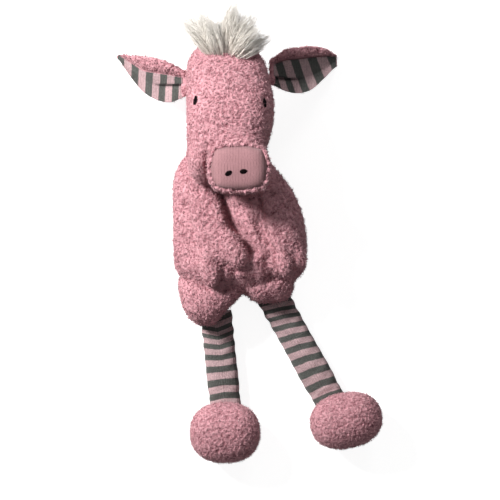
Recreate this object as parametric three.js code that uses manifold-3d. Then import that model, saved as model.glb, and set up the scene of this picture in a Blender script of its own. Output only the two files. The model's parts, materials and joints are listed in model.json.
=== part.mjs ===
// A plush pig lying on its back: fleece body, head, arms and feet, striped knit legs and ear
// linings, a knit snout and a tuft of long hair. Millimetres and degrees, +Z out of the belly,
// +Y towards the head. Left and right are those of someone who looks down at the toy.
import * as THREE from 'three';
import { mergeVertices } from 'three/addons/utils/BufferGeometryUtils.js';
import Module from 'manifold-3d';

const wasm = await Module();
wasm.setup();

// How cloth meets cloth, and how the toy lies
const clearance = 0.3;      // between pieces that touch
const socketGap = 0.5;      // round a ball that turns two ways
const restFlat = 0.5;       // how deep the ground flattens what lies on it
const overrun = 60;         // how far a cut runs past what it cuts
const fleece = 3;           // backing and pile
const knit = 1.4;
const round = 2;            // the power of a plain ellipse; higher powers are fuller
const quarterTurn = 90;

// Torso: a bag with two rounded thighs, from the resting point up to the shoulders and down
const torso = {
  up: 90, down: 54, halfWidth: 64, halfDepth: 30, endPower: 3, ringPower: 2.4, bedShare: 0.75,
  widthShares: [0.85, 0.85, 0.914, 0.963, 0.992, 1.026, 1.085, 1.05],
  depthShares: [0.62, 0.68, 0.78, 0.87, 0.96, 1.02, 1.06, 1.0],
  sideShares: [-0.2, -0.205, -0.117, -0.042, -0.003, 0.003, 0.002, -0.03],
  sides: 24, rings: 14,
};
const thighs = [
  { x: -33, y: -47, halfLength: 36, halfWidth: 25.5, halfDepth: 24 },
  { x: 30, y: -36, halfLength: 24, halfWidth: 22.5, halfDepth: 24 },
];
const thighForm = { endPower: 2.6, ringPower: 2.6, sides: 16, rings: 8 };
const pelletBag = { y: -22, halfLength: 24, halfWidth: 42, halfDepth: 12 };

// Neck: a stuffed ball between the shoulders and the back of the head
const neck = { x: -11, y: 82, radius: 21, mouth: 13, sides: 20, rings: 12 };

// Head: a long ovoid whose axis rises towards the snout
const head = {
  x: -9.5, y: 138, tilt: 28, crown: 48, reach: 98, halfWidth: 42, halfDepth: 42,
  endPower: 2.6, ringPower: 2.1,
  widthShares: [1.05, 1.036, 0.984, 0.993, 0.965, 0.9, 0.76, 0.8],
  depthShares: [1.0, 1.02, 0.99, 0.95, 0.86, 0.76, 0.82, 0.86],
  sideShares: [-0.12, -0.08, -0.03, 0.02, -0.01, -0.04, 0.2, 0.22],
  sides: 24, rings: 16,
};

// Knit and embroidery sewn on the head
const snout = { x: -1.5, y: 77.2, z: 71.5, lean: 33, halfWidth: 27.5, halfHeight: 22, thick: 1.8 };
const nostril = {
  apart: 14.2, aside: -2, up: 6.2, halfWidth: 3.3, halfHeight: 2.4, roll: 18, thick: 0.8,
};
const eye = { y: 131.5, z: 45, halfWidth: 2.9, halfHeight: 5.2, lean: 52.5, thick: 0.9 };
const patchSides = 16;

// Hair: long locks on a strip of backing at the crown
const hair = {
  x: -15, y: 150, z: 36, halfWidth: 23, halfHeight: 13, lean: -55, thick: 1.6,
  rootSpread: 15, rootY: 173, rootZ: 50,
};
const lock = {
  halfWidth: 6.4, halfDepth: 3.4, widthShares: [0.7, 1, 0.9, 0.5, 0.15],
  depthShares: [1, 1, 0.8, 0.5, 0.2], endPower: round, ringPower: round, sides: 6, rings: 4,
};
// Where each lock's root and tip lie, as shares of the tuft's spread and height
const tuft = { height: 50, halfSpread: 41, lift: 20 };
const lockShares = [
  { root: -0.9, tipSide: -0.91, tip: 0.66, lift: 0.3, bulk: 0.9 },
  { root: -0.65, tipSide: -0.6, tip: 0.8, lift: 0.0, bulk: 1.1 },
  { root: -0.3, tipSide: -0.3, tip: 0.62, lift: 0.7, bulk: 1.1 },
  { root: -0.05, tipSide: 0.0, tip: 0.72, lift: -0.2, bulk: 1.1 },
  { root: 0.15, tipSide: 0.28, tip: 1.0, lift: 0.4, bulk: 1.25 },
  { root: 0.4, tipSide: 0.5, tip: 0.74, lift: 0.0, bulk: 1.0 },
  { root: 0.6, tipSide: 0.74, tip: 0.8, lift: 0.5, bulk: 1.0 },
  { root: 0.85, tipSide: 0.82, tip: 0.52, lift: 0.8, bulk: 0.9 },
  { root: 0.8, tipSide: 1.0, tip: 0.36, lift: 0.1, bulk: 1.0 },
];

// Ears: a leaf of fleece that rolls over the upper edge of a striped lining, creased lengthwise.
// The lining keeps this many steps of the leaf's grid away from its edges.
const ear = {
  root: 4.5, rootLength: 26, rootPower: 4, rootSides: 12, rootRings: 6, z: 32, back: 3.6,
  lining: 1.4, roll: 2.2, cup: 9, cupPower: 1.15,
  lengthSteps: 14, acrossSteps: 10, liningInSteps: 1, liningOutSteps: 1, liningDownSteps: 0,
  cupShares: [0, 0.85, 1.0, 0.85, 0.55, 0.15], rollShares: [0, 1, 0.7],
};
const ears = [
  {
    side: 'left', toward: -1, x: -52.6, y: 147, length: 64.5, liningUpSteps: 3,
    upperShares: [0.2, 0.3, 0.37, 0.4, 0.43, 0.455],
    lowerShares: [-0.2, -0.27, -0.23, -0.11, 0.13, 0.4],
    creaseShares: [0.0, 0.0, 0.01, 0.06, 0.25, 0.43],
  },
  {
    side: 'right', toward: 1, x: 30.6, y: 158, length: 61.5, liningUpSteps: 2,
    upperShares: [0.22, 0.34, 0.38, 0.4, 0.375, 0.29],
    lowerShares: [-0.2, -0.29, -0.32, -0.26, -0.08, 0.11],
    creaseShares: [-0.06, -0.08, -0.08, -0.04, 0.06, 0.2],
  },
];

// Arms: flat sleeves that lie on the belly and end in a cloven trotter
const arm = {
  shoulder: 9, shoulderHalfWidth: 12.5, halfDepth: 8.5, mouth: 3.4, endPower: 2.4, ringPower: 2.2,
  widthShares: [0.86, 0.9, 0.98, 1.0, 0.96, 0.9], sides: 14, rings: 10,
};
const toeForm = { widthShares: [0.8, 1, 1], endPower: 2.4, ringPower: 2.2, sides: 12, rings: 7 };
const arms = [
  {
    side: 'left', x: -38, y: 52, z: 45, length: 80, halfWidth: 17, swing: 17, roll: -12,
    liftShares: [0, 0.25, 0.75, 1.2, 1.6, 1.8],
    toes: [
      { swing: 27.5, reach: 88, length: 40, halfWidth: 10 },
      { swing: 8.5, reach: 98, length: 44, halfWidth: 11 },
    ],
  },
  {
    side: 'right', x: 28, y: 46, z: 45, length: 72, halfWidth: 15, swing: 14, roll: 16,
    liftShares: [0, 0.3, 0.95, 1.3, 1.3, 0.9],
    toes: [
      { swing: 9.5, reach: 83, length: 38, halfWidth: 9 },
      { swing: 21.5, reach: 80, length: 38, halfWidth: 8.5 },
    ],
  },
];

// Legs: striped knit tubes, thinly stuffed, that fold at the hip, the knee and the ankle.
// Each length stops short of the next fold, so that the two can bend.
const leg = {
  halfWidth: 15, halfDepth: 8.7, power: 2.6, root: 17, foldRoom: 6.2, collarHalfWidth: 13.6,
  collarHalfDepth: 8.2, sides: 16, rings: 6, hipSides: 20,
};
const legs = [
  {
    side: 'left', x: -21.8, y: -79.5, swing: 6, length: 71.4, swings: [-30, 20],
    foot: { halfWidth: 34.5, halfLength: 30, turn: -6, aside: -3 },
  },
  {
    side: 'right', x: 34.1, y: -59.4, swing: 29, length: 98, swings: [-14, 25],
    foot: { halfWidth: 35.5, halfLength: 27.5, turn: -17, aside: 4 },
  },
];

// Feet: fleece balls filled with pellets
const foot = {
  ahead: 31, halfDepth: 25, endPower: 2.7, ringPower: 2.5,
  mouth: 5.5, sides: 20, rings: 12,
};

// Materials
const pinkFleece = () => new THREE.MeshStandardMaterial({ color: 0xd996a4, roughness: 0.95 });
const stuffing = () => new THREE.MeshStandardMaterial({ color: 0xf1eee8, roughness: 1 });
const pellets = () => new THREE.MeshStandardMaterial({ color: 0xe9e5da, roughness: 0.7 });
const stripedKnit = () => new THREE.MeshStandardMaterial({ color: 0x96898c, roughness: 0.9 });
const snoutKnit = () => new THREE.MeshStandardMaterial({ color: 0xc3959f, roughness: 0.9 });
const whiteHair = () => new THREE.MeshStandardMaterial({ color: 0xdcd6cb, roughness: 0.85 });
const blackThread = () => new THREE.MeshStandardMaterial({ color: 0x1a1014, roughness: 0.6 });

// Solids and closed meshes
const mergeWithin = 1e-5;
const insideShare = 0.5;    // a hidden surface has this share of the facets of the one that shows

function bare(geometry) {
  const copy = geometry.clone();
  copy.deleteAttribute('normal');
  copy.deleteAttribute('uv');
  return mergeVertices(copy, mergeWithin);
}

// A mirrored mapping turns a mesh inside out, and its volume then comes out negative
function facingOut(geometry) {
  const corner = [new THREE.Vector3(), new THREE.Vector3(), new THREE.Vector3()];
  const index = geometry.index.array;
  let volume = 0;
  for (let i = 0; i < index.length; i += 3) {
    corner.forEach((point, k) => point.fromBufferAttribute(geometry.attributes.position, index[i + k]));
    volume += corner[0].dot(corner[1].cross(corner[2]));
  }
  if (volume < 0) {
    for (let i = 0; i < index.length; i += 3) {
      [index[i], index[i + 1]] = [index[i + 1], index[i]];
    }
  }
  return geometry;
}

function solidOf(geometry) {
  const closed = bare(geometry);
  return new wasm.Manifold(new wasm.Mesh({
    numProp: 3,
    vertProperties: new Float32Array(closed.attributes.position.array),
    triVerts: new Uint32Array(closed.index.array),
  }));
}

function geometryOf(solid) {
  const mesh = solid.getMesh();
  const geometry = new THREE.BufferGeometry();
  geometry.setAttribute('position', new THREE.BufferAttribute(new Float32Array(mesh.vertProperties), 3));
  geometry.setIndex(new THREE.BufferAttribute(new Uint32Array(mesh.triVerts), 1));
  geometry.computeVertexNormals();
  return geometry;
}

// The same form with its surface moved out, or in where the amount is negative
function grown(geometry, amount) {
  const copy = geometry.clone();
  copy.computeVertexNormals();
  const points = copy.attributes.position;
  const normals = copy.attributes.normal;
  const point = new THREE.Vector3();
  const normal = new THREE.Vector3();
  for (let i = 0; i < points.count; i += 1) {
    point.fromBufferAttribute(points, i);
    normal.fromBufferAttribute(normals, i);
    point.addScaledVector(normal, amount);
    points.setXYZ(i, point.x, point.y, point.z);
  }
  copy.deleteAttribute('normal');
  return copy;
}

const radians = THREE.MathUtils.degToRad;
const rounded = (value, power) => Math.sign(value) * Math.abs(value) ** (2 / power);

const even = [1, 1];

function shareAt(shares, along) {
  if (!shares) return 0;
  const curve = new THREE.SplineCurve(shares.map((share, place) => new THREE.Vector2(place, share)));
  return curve.getPoint(along).y;
}

// A swelling form along Y, from `start` down to `end`, with rounded ends and pillow-shaped rings.
// Its widths, depths and offsets follow shares spaced evenly along it.
function stuffedForm(form, detail = 1) {
  const sides = 2 * Math.round(form.sides * detail / 2);
  const ball = bare(new THREE.SphereGeometry(1, sides, Math.round(form.rings * detail)));
  const points = ball.attributes.position;
  for (let i = 0; i < points.count; i += 1) {
    const height = THREE.MathUtils.clamp(points.getY(i), -1, 1);
    const turn = Math.atan2(points.getZ(i), points.getX(i));
    const along = (1 - rounded(height, form.endPower)) / 2;
    const swell = rounded(Math.sqrt(1 - height * height), form.endPower);
    const width = form.halfWidth * shareAt(form.widthShares ?? even, along) * swell;
    const depth = form.halfDepth * shareAt(form.depthShares ?? even, along) * swell;
    const bed = form.bedShare === undefined ? 0
      : THREE.MathUtils.lerp(form.halfDepth, depth, form.bedShare) - restFlat;
    const aside = form.halfWidth * shareAt(form.sideShares, along);
    const lift = bed + form.halfDepth * shareAt(form.liftShares, along);
    points.setXYZ(
      i,
      aside + width * rounded(Math.cos(turn), form.ringPower),
      THREE.MathUtils.lerp(form.start, form.end, along),
      lift + depth * rounded(Math.sin(turn), form.ringPower),
    );
  }
  return facingOut(ball);
}

// A round end that turns about X: a pillow section spun about that line
function spunEnd(halfWidth, halfDepth, sides, rings, detail = 1) {
  const form = stuffedForm({
    start: halfWidth, end: -halfWidth, halfWidth: halfDepth, halfDepth,
    endPower: leg.power, ringPower: round, sides, rings,
  }, detail);
  return form.rotateZ(radians(quarterTurn));
}

// A straight tube of pillow section along Y, from `start` down to `end`
function tubeForm(halfWidth, halfDepth, start, end, sides) {
  const tube = bare(new THREE.CylinderGeometry(1, 1, start - end, sides));
  const points = tube.attributes.position;
  for (let i = 0; i < points.count; i += 1) {
    const size = Math.hypot(points.getX(i), points.getZ(i));
    const turn = Math.atan2(points.getZ(i), points.getX(i));
    points.setX(i, size * halfWidth * rounded(Math.cos(turn), leg.power));
    points.setZ(i, size * halfDepth * rounded(Math.sin(turn), leg.power));
  }
  return tube.translate(0, (start + end) / 2, 0);
}

function slabBelow(height) {
  const size = 2 * (torso.up + head.crown + head.reach + leg.halfWidth + overrun);
  return solidOf(new THREE.BoxGeometry(size, size, size).translate(0, 0, height - size / 2));
}

const ground = slabBelow(0);
const restOnGround = (solid) => solid.subtract(ground);

// A cover with its filling inside. `shape` gives the solid with its surface moved in by an amount.
function stuffed(shape, wall, mouth) {
  return {
    cover: shape(0).subtract(shape(wall)).subtract(mouth),
    filling: shape(wall + clearance),
  };
}

function cylinderAlong(radius, length, position, rotation) {
  const bore = new THREE.CylinderGeometry(radius, radius, length, patchSides);
  bore.rotateX(rotation.x).rotateY(rotation.y).rotateZ(rotation.z);
  return solidOf(bore.translate(position.x, position.y, position.z));
}

// Bodies: a group at each joint, nested as the joints are
const group = new THREE.Group();

function bodyAt(parent, x, y, z) {
  const body = new THREE.Group();
  parent.updateWorldMatrix(true, false);
  body.position.copy(parent.worldToLocal(new THREE.Vector3(x, y, z)));
  parent.add(body);
  body.updateWorldMatrix(true, false);
  return body;
}

function addPiece(body, name, solid, material) {
  const geometry = geometryOf(solid);
  const origin = new THREE.Vector3().setFromMatrixPosition(body.matrixWorld);
  geometry.translate(-origin.x, -origin.y, -origin.z);
  const mesh = new THREE.Mesh(geometry, material);
  mesh.name = name;
  body.add(mesh);
}

// Neck
const neckRest = neck.radius - restFlat;

function neckBall(amount, detail) {
  const radius = neck.radius + amount;
  const ball = stuffedForm({
    ...neck, start: radius, end: -radius, halfWidth: radius, halfDepth: radius,
    endPower: round, ringPower: round,
  }, detail);
  return solidOf(ball.rotateZ(radians(quarterTurn)).translate(neck.x, neck.y, neckRest));
}

const neckSocket = (amount, detail) => neckBall(socketGap + amount, detail);
const neckMouth = cylinderAlong(
  neck.mouth, 2 * (neck.radius + socketGap + 2 * fleece), { x: neck.x, y: neck.y, z: neckRest },
  new THREE.Vector3(),
);

// Torso
const legHeight = leg.halfDepth - restFlat;

function onLeg(place, geometry) {
  return solidOf(geometry.clone().rotateZ(radians(place.swing)).translate(place.x, place.y, 0));
}

const hipSpin = (place, amount, detail) => spunEnd(
  leg.halfDepth + amount, leg.halfWidth + amount, leg.hipSides, leg.rings, detail,
).rotateY(radians(quarterTurn)).translate(place.x, place.y, legHeight);

const shoulderSpin = (place, amount, detail) => spunEnd(
  arm.shoulderHalfWidth + amount, arm.shoulder + amount, arm.sides, leg.rings, detail,
).rotateZ(radians(place.swing)).translate(place.x, place.y, place.z);

function torsoSurface(amount, detail) {
  const bag = stuffedForm({ ...torso, start: torso.up, end: -torso.down }, detail);
  return thighs.reduce((whole, thigh) => {
    const form = stuffedForm({
      ...thighForm, ...thigh, bedShare: torso.bedShare, start: thigh.halfLength, end: -thigh.halfLength,
    }, detail);
    return whole.add(solidOf(grown(form.translate(thigh.x, thigh.y, 0), amount)));
  }, solidOf(grown(bag, amount)));
}

// The room that a leg's top needs at the two ends of its swing
function hipMouth(place) {
  const room = tubeForm(
    leg.halfWidth + clearance, leg.halfDepth + clearance, 0, -leg.root, leg.sides,
  ).translate(0, 0, legHeight);
  const [inward, outward] = place.swings.map((turn) => onLeg(
    { ...place, swing: place.swing + turn }, room,
  ));
  return inward.add(outward);
}

function torsoShape(inset) {
  const detail = inset > 0 ? insideShare : 1;
  let shape = torsoSurface(-inset, detail).subtract(slabBelow(inset)).subtract(neckSocket(inset, detail));
  for (const place of legs) shape = shape.subtract(solidOf(hipSpin(place, clearance + inset, detail)));
  for (const place of arms) shape = shape.subtract(solidOf(shoulderSpin(place, clearance + inset, detail)));
  return inset > 0 ? shape : legs.reduce((rest, place) => rest.subtract(hipMouth(place)), shape);
}

function buildTorso(body) {
  const { cover, filling } = stuffed(torsoShape, fleece, neckMouth);
  const bag = stuffedForm({
    ...thighForm, ...pelletBag, start: pelletBag.halfLength, end: -pelletBag.halfLength,
  }).translate(0, pelletBag.y, fleece + pelletBag.halfDepth - restFlat);
  addPiece(body, 'torso_cover', cover, pinkFleece());
  addPiece(body, 'torso_filling', filling.subtract(solidOf(grown(bag, clearance))), stuffing());
  addPiece(body, 'pellet_bag', filling.intersect(solidOf(bag)), pellets());
}

function buildNeck(body) {
  const shape = (inset) => neckBall(-inset, inset > 0 ? insideShare : 1).subtract(slabBelow(inset));
  const { cover, filling } = stuffed(shape, fleece, neckMouth);
  addPiece(body, 'neck_cover', cover, pinkFleece());
  addPiece(body, 'neck_filling', filling, stuffing());
}

// Head
function headSurface(amount, detail) {
  const form = stuffedForm({ ...head, start: head.crown, end: -head.reach }, detail)
    .rotateX(radians(-head.tilt))
    .translate(head.x, head.y, head.halfDepth * head.depthShares[2] - restFlat);
  return solidOf(grown(form, amount));
}

const earRoots = ears.map((place) => stuffedForm({
  start: ear.rootLength / 2, end: -ear.rootLength / 2, halfWidth: ear.root, halfDepth: ear.root,
  endPower: ear.rootPower, ringPower: round, sides: ear.rootSides, rings: ear.rootRings,
}).translate(place.x, place.y, ear.z));

function headShape(inset) {
  const detail = inset > 0 ? insideShare : 1;
  const shape = headSurface(-inset, detail).subtract(slabBelow(inset)).subtract(neckSocket(inset, detail));
  return earRoots.reduce((rest, root) => rest.subtract(solidOf(grown(root, clearance + inset))), shape);
}

// A patch sewn on the head: the skin between two heights over it, inside an oval that looks
// along `facing`
function patch(under, thick, place, facing) {
  const outline = new THREE.CylinderGeometry(1, 1, 1, patchSides)
    .scale(place.halfWidth, overrun, place.halfHeight)
    .rotateX(radians(quarterTurn))
    .rotateZ(radians(place.roll ?? 0))
    .translate(0, 0, overrun / 2)
    .rotateX(radians(facing.x))
    .rotateY(radians(facing.y))
    .translate(place.x, place.y, place.z);
  return headSurface(under + thick, 1).subtract(headSurface(under, 1)).intersect(solidOf(outline));
}

function lockForm(share) {
  const root = new THREE.Vector3(hair.x + share.root * hair.rootSpread, hair.rootY, hair.rootZ);
  const tip = new THREE.Vector3(
    hair.x + share.tipSide * tuft.halfSpread, hair.rootY + share.tip * tuft.height,
    hair.rootZ + share.lift * tuft.lift,
  );
  const run = tip.clone().sub(root);
  const downwards = new THREE.Vector3(0, -1, 0);
  const turn = new THREE.Quaternion().setFromUnitVectors(downwards, run.clone().normalize());
  return stuffedForm({
    ...lock, start: 0, end: -run.length(), halfWidth: lock.halfWidth * share.bulk,
    halfDepth: lock.halfDepth * share.bulk,
  }).applyQuaternion(turn).translate(root.x, root.y, root.z);
}

function buildHair(body) {
  const backing = patch(clearance, hair.thick, hair, { x: hair.lean, y: 0 });
  const skin = headSurface(clearance, 1);
  const tufts = lockShares.reduce((whole, share) => whole.add(solidOf(lockForm(share))), backing);
  addPiece(body, 'hair_tuft', tufts.subtract(skin), whiteHair());
}

function buildHead(body) {
  const { cover, filling } = stuffed(headShape, fleece, neckMouth);
  addPiece(body, 'head_cover', cover, pinkFleece());
  addPiece(body, 'head_filling', filling, stuffing());
  addPiece(body, 'snout_panel', patch(clearance, snout.thick, snout, { x: snout.lean, y: 0 }), snoutKnit());
  const overSnout = clearance + snout.thick + clearance;
  for (const [side, toward] of [['left', -1], ['right', 1]]) {
    addPiece(body, `nostril_${side}`, patch(overSnout, nostril.thick, {
      ...nostril, x: snout.x + nostril.aside + toward * nostril.apart / 2,
      y: snout.y + nostril.up, z: snout.z,
      roll: -toward * nostril.roll,
    }, { x: snout.lean, y: 0 }), blackThread());
    addPiece(body, `eye_${side}`, patch(
      clearance, eye.thick, { ...eye, x: head.x }, { x: 0, y: toward * eye.lean },
    ), blackThread());
  }
  buildHair(body);
}

// Ears
const earFall = ear.z - ear.back + restFlat;

// A sheet of the leaf between two heights over its middle surface, given as functions of the
// place across it, on the leaf's own grid less `trim` steps at each edge
function earSheet(place, bottomAt, topAt, trim) {
  const innerStep = trim.inSteps;
  const outerStep = ear.lengthSteps - trim.outSteps;
  const downStep = trim.downSteps;
  const upStep = ear.acrossSteps - trim.upSteps;
  const box = bare(new THREE.BoxGeometry(1, 1, 1, outerStep - innerStep, upStep - downStep, 1));
  const points = box.attributes.position;
  for (let i = 0; i < points.count; i += 1) {
    const along = THREE.MathUtils.lerp(innerStep, outerStep, points.getX(i) + 0.5) / ear.lengthSteps;
    const step = THREE.MathUtils.lerp(downStep, upStep, points.getY(i) + 0.5);
    const across = 2 * step / ear.acrossSteps - 1;
    const crease = shareAt(place.creaseShares, along);
    const edge = shareAt(across < 0 ? place.lowerShares : place.upperShares, along);
    const cupped = ear.cup * shareAt(ear.cupShares, along) * Math.abs(across) ** ear.cupPower;
    const height = points.getZ(i) > 0 ? topAt(across) : bottomAt;
    points.setXYZ(
      i,
      place.x + place.toward * place.length * along,
      place.y + place.length * THREE.MathUtils.lerp(crease, edge, Math.abs(across)),
      ear.z - earFall * along + cupped + height,
    );
  }
  return solidOf(facingOut(box));
}

// The fleece rolls over beyond the lining's upper edge
function rolledOver(place, across) {
  const from = 1 - 2 * place.liningUpSteps / ear.acrossSteps;
  const share = across > from ? shareAt(ear.rollShares, (across - from) / (1 - from)) : 0;
  return (ear.roll + ear.lining) * share;
}

function buildEar(body, place, root) {
  const whole = { inSteps: 0, outSteps: 0, downSteps: 0, upSteps: 0 };
  const back = earSheet(place, -ear.back, (across) => rolledOver(place, across), whole);
  const lining = earSheet(place, clearance, () => clearance + ear.lining, {
    inSteps: ear.liningInSteps, outSteps: ear.liningOutSteps, downSteps: ear.liningDownSteps,
    upSteps: place.liningUpSteps,
  });
  const room = solidOf(grown(root, clearance));
  addPiece(body, `ear_${place.side}_back`, restOnGround(back.add(solidOf(root))), pinkFleece());
  addPiece(body, `ear_${place.side}_lining`, lining.subtract(room), stripedKnit());
}

// Arms
function onArm(place, form, inset) {
  return solidOf(grown(
    form.rotateY(radians(place.roll)).rotateZ(radians(place.swing)).translate(place.x, place.y, place.z),
    -inset,
  ));
}

function sleeve(place, inset, detail) {
  const form = stuffedForm({ ...arm, ...place, start: arm.shoulder, end: -place.length }, detail);
  return onArm(place, form, inset);
}

function toe(place, shape) {
  const tip = place.liftShares.at(-1) * arm.halfDepth;
  const form = stuffedForm({
    ...toeForm, halfWidth: shape.halfWidth, halfDepth: arm.halfDepth,
    start: shape.length - shape.reach, end: -shape.reach,
  });
  return onArm(place, form.rotateZ(radians(shape.swing - place.swing)).translate(0, 0, tip), 0);
}

function buildArm(body, place) {
  const mouth = cylinderAlong(
    arm.mouth, 2 * arm.shoulder, { x: place.x, y: place.y, z: place.z - arm.shoulder / 2 },
    new THREE.Vector3(radians(quarterTurn), 0, 0),
  );
  const inside = (inset) => sleeve(place, inset, insideShare).subtract(torsoSurface(clearance + inset, 1));
  const hand = place.toes.reduce((whole, shape) => whole.add(toe(place, shape)), sleeve(place, 0, 1));
  const outside = hand.subtract(torsoSurface(clearance, 1)).add(solidOf(shoulderSpin(place, 0)));
  addPiece(body, `arm_${place.side}_cover`, outside.subtract(inside(fleece)).subtract(mouth), pinkFleece());
  addPiece(body, `arm_${place.side}_filling`, inside(fleece + clearance), stuffing());
}

// Legs
function legEnd(place, reach, amount) {
  return onLeg(place, spunEnd(leg.halfWidth + amount, leg.halfDepth + amount, leg.sides, leg.rings)
    .translate(0, -reach, legHeight));
}

function legTube(place, start, end, inset) {
  return onLeg(place, tubeForm(leg.halfWidth - inset, leg.halfDepth - inset, -start, -end, leg.sides)
    .translate(0, 0, legHeight));
}

// The short length that turns flat in the hip
function buildHip(body, place) {
  const length = solidOf(hipSpin(place, 0)).add(legTube(place, 0, leg.root - leg.foldRoom, 0));
  const next = legEnd(place, leg.root, clearance);
  addPiece(body, `leg_${place.side}_root`, restOnGround(length.subtract(next)), stripedKnit());
}

// One length of the knit tube with its stuffing, from the fold at `start` to the fold at `end`,
// open towards the next length
function buildLegLength(body, place, name, start, end) {
  const next = legEnd(place, end, clearance);
  const outer = legEnd(place, start, 0).add(legTube(place, start, end - leg.foldRoom, 0)).subtract(next);
  const hollow = legTube(place, start, end, knit).subtract(slabBelow(knit));
  const inner = knit + clearance;
  const filling = legTube(place, start + clearance, end - leg.halfDepth - inner, inner)
    .subtract(slabBelow(inner));
  addPiece(body, `leg_${place.side}_${name}`, restOnGround(outer.subtract(hollow)), stripedKnit());
  addPiece(body, `leg_${place.side}_${name}_filling`, filling, stuffing());
}

// Feet
function buildFoot(body, place) {
  const { halfWidth, halfLength, turn, aside } = place.foot;
  const form = { ...foot, halfWidth, start: halfLength, end: -halfLength };
  const surface = (amount) => onLeg(place, grown(stuffedForm(form, amount < 0 ? insideShare : 1), amount)
    .rotateZ(radians(turn))
    .translate(aside, -place.length - foot.ahead, foot.halfDepth - restFlat));
  const shape = (inset) => surface(-inset).subtract(slabBelow(inset));
  const collar = onLeg(place, tubeForm(
    leg.collarHalfWidth, leg.collarHalfDepth, -place.length, -place.length - foot.ahead, leg.sides,
  ).translate(0, 0, legHeight)).add(legEnd(place, place.length, 0));
  const mouth = onLeg(place, new THREE.CylinderGeometry(foot.mouth, foot.mouth, foot.ahead, patchSides)
    .translate(0, -place.length - foot.ahead / 2, legHeight + fleece));
  const { cover, filling } = stuffed(shape, fleece, mouth);
  const collarEnd = collar.subtract(surface(clearance));
  addPiece(body, `foot_${place.side}_collar`, restOnGround(collarEnd), stripedKnit());
  addPiece(body, `foot_${place.side}_cover`, cover, pinkFleece());
  addPiece(body, `foot_${place.side}_pellets`, filling, pellets());
}

function alongLeg(place, reach) {
  const way = radians(place.swing);
  return [place.x + reach * Math.sin(way), place.y - reach * Math.cos(way), legHeight];
}

// The toy
const torsoBody = bodyAt(group, 0, 0, 0);
buildTorso(torsoBody);
const neckBody = bodyAt(torsoBody, neck.x, neck.y, neckRest);
buildNeck(neckBody);
const headBody = bodyAt(neckBody, neck.x, neck.y, neckRest);
buildHead(headBody);
ears.forEach((place, count) => buildEar(bodyAt(headBody, place.x, place.y, ear.z), place, earRoots[count]));
arms.forEach((place) => buildArm(bodyAt(torsoBody, place.x, place.y, place.z), place));
for (const place of legs) {
  const knee = (leg.root + place.length) / 2;
  let body = bodyAt(torsoBody, ...alongLeg(place, 0));
  buildHip(body, place);
  for (const [name, start, end] of [['upper', leg.root, knee], ['lower', knee, place.length]]) {
    body = bodyAt(body, ...alongLeg(place, start));
    buildLegLength(body, place, name, start, end);
  }
  buildFoot(bodyAt(body, ...alongLeg(place, place.length)), place);
}

export default group;
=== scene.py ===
"""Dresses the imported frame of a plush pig: curly pile fleece, striped jersey knit, a rib knit
snout, embroidered eyes and nostrils, and a tuft of long pale hair. Lengths in the tables are
millimetres, and everything that reaches Blender is in metres."""

import json
import math

import bpy
import numpy as np
from bpy.props import FloatProperty, FloatVectorProperty, IntProperty, PointerProperty
from mathutils import Matrix, Vector
from mathutils.bvhtree import BVHTree

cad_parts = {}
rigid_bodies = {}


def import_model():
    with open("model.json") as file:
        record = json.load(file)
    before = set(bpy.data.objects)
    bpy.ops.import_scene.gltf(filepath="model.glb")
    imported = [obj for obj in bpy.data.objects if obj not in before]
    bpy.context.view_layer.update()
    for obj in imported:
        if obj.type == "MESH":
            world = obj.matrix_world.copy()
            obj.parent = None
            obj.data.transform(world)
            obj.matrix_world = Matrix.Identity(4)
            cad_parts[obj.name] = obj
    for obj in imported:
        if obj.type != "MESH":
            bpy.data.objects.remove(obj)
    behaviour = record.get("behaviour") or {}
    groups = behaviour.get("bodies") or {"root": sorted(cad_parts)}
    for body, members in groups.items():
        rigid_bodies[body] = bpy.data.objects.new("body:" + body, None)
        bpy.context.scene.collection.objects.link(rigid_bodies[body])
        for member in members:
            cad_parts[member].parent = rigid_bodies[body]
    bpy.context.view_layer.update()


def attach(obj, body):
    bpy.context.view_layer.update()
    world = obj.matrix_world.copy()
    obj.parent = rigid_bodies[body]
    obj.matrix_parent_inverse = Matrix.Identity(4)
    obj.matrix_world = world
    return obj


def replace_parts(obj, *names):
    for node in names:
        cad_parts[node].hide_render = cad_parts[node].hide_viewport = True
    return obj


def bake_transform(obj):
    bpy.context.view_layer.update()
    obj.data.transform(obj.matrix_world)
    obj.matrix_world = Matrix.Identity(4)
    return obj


bl_info = {
    "name": "Plush pig",
    "version": (1, 0, 0),
    "blender": (4, 5, 0),
    "location": "View3D > Sidebar > Plush",
    "description": "Dresses a jointed plush pig in pile fleece, striped knit and hair",
    "category": "Object",
}

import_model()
MM = 0.001

# How the toy lies and where its pieces are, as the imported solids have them. The ground cuts off
# REST_FLAT of a cover, a skin lies SKIN_INSET under its solid to leave room for the pile, and an
# ear's lining stands KNIT_LIFT over the fleece.
REST_FLAT = 0.5
SKIN_INSET = 2.4
KNIT_LIFT = 0.3
TORSO = {
    "start": 90, "end": -52.5, "half_width": 64, "half_depth": 30, "end_power": 3,
    "ring_power": 2.4, "bed": 0.75,
    "widths": [0.85, 0.85, 0.914, 0.963, 0.992, 1.026, 1.085, 1.05],
    "depths": [0.62, 0.68, 0.78, 0.87, 0.96, 1.02, 1.06, 1.0],
    "sides": [-0.2, -0.205, -0.117, -0.042, -0.003, 0.003, 0.002, -0.03],
}
THIGHS = [
    {
        "x": -33, "y": -47, "half_length": 36, "half_width": 25.5, "half_depth": 24,
        "end_power": 2.2, "widths": [1.0, 1.1, 1.25, 1.15, 0.92, 0.82],
        "sides": [0, 0.1, 0.2, 0.17, 0, 0], "depths": [1, 1, 1, 1.05, 1.2, 1.4],
    },
    {"x": 27.5, "y": -36, "half_length": 25, "half_width": 24.5, "half_depth": 24, "end_power": 3},
    {"x": -2, "y": -35, "half_length": 18, "half_width": 20, "half_depth": 24, "end_power": 2.4},
]
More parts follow.
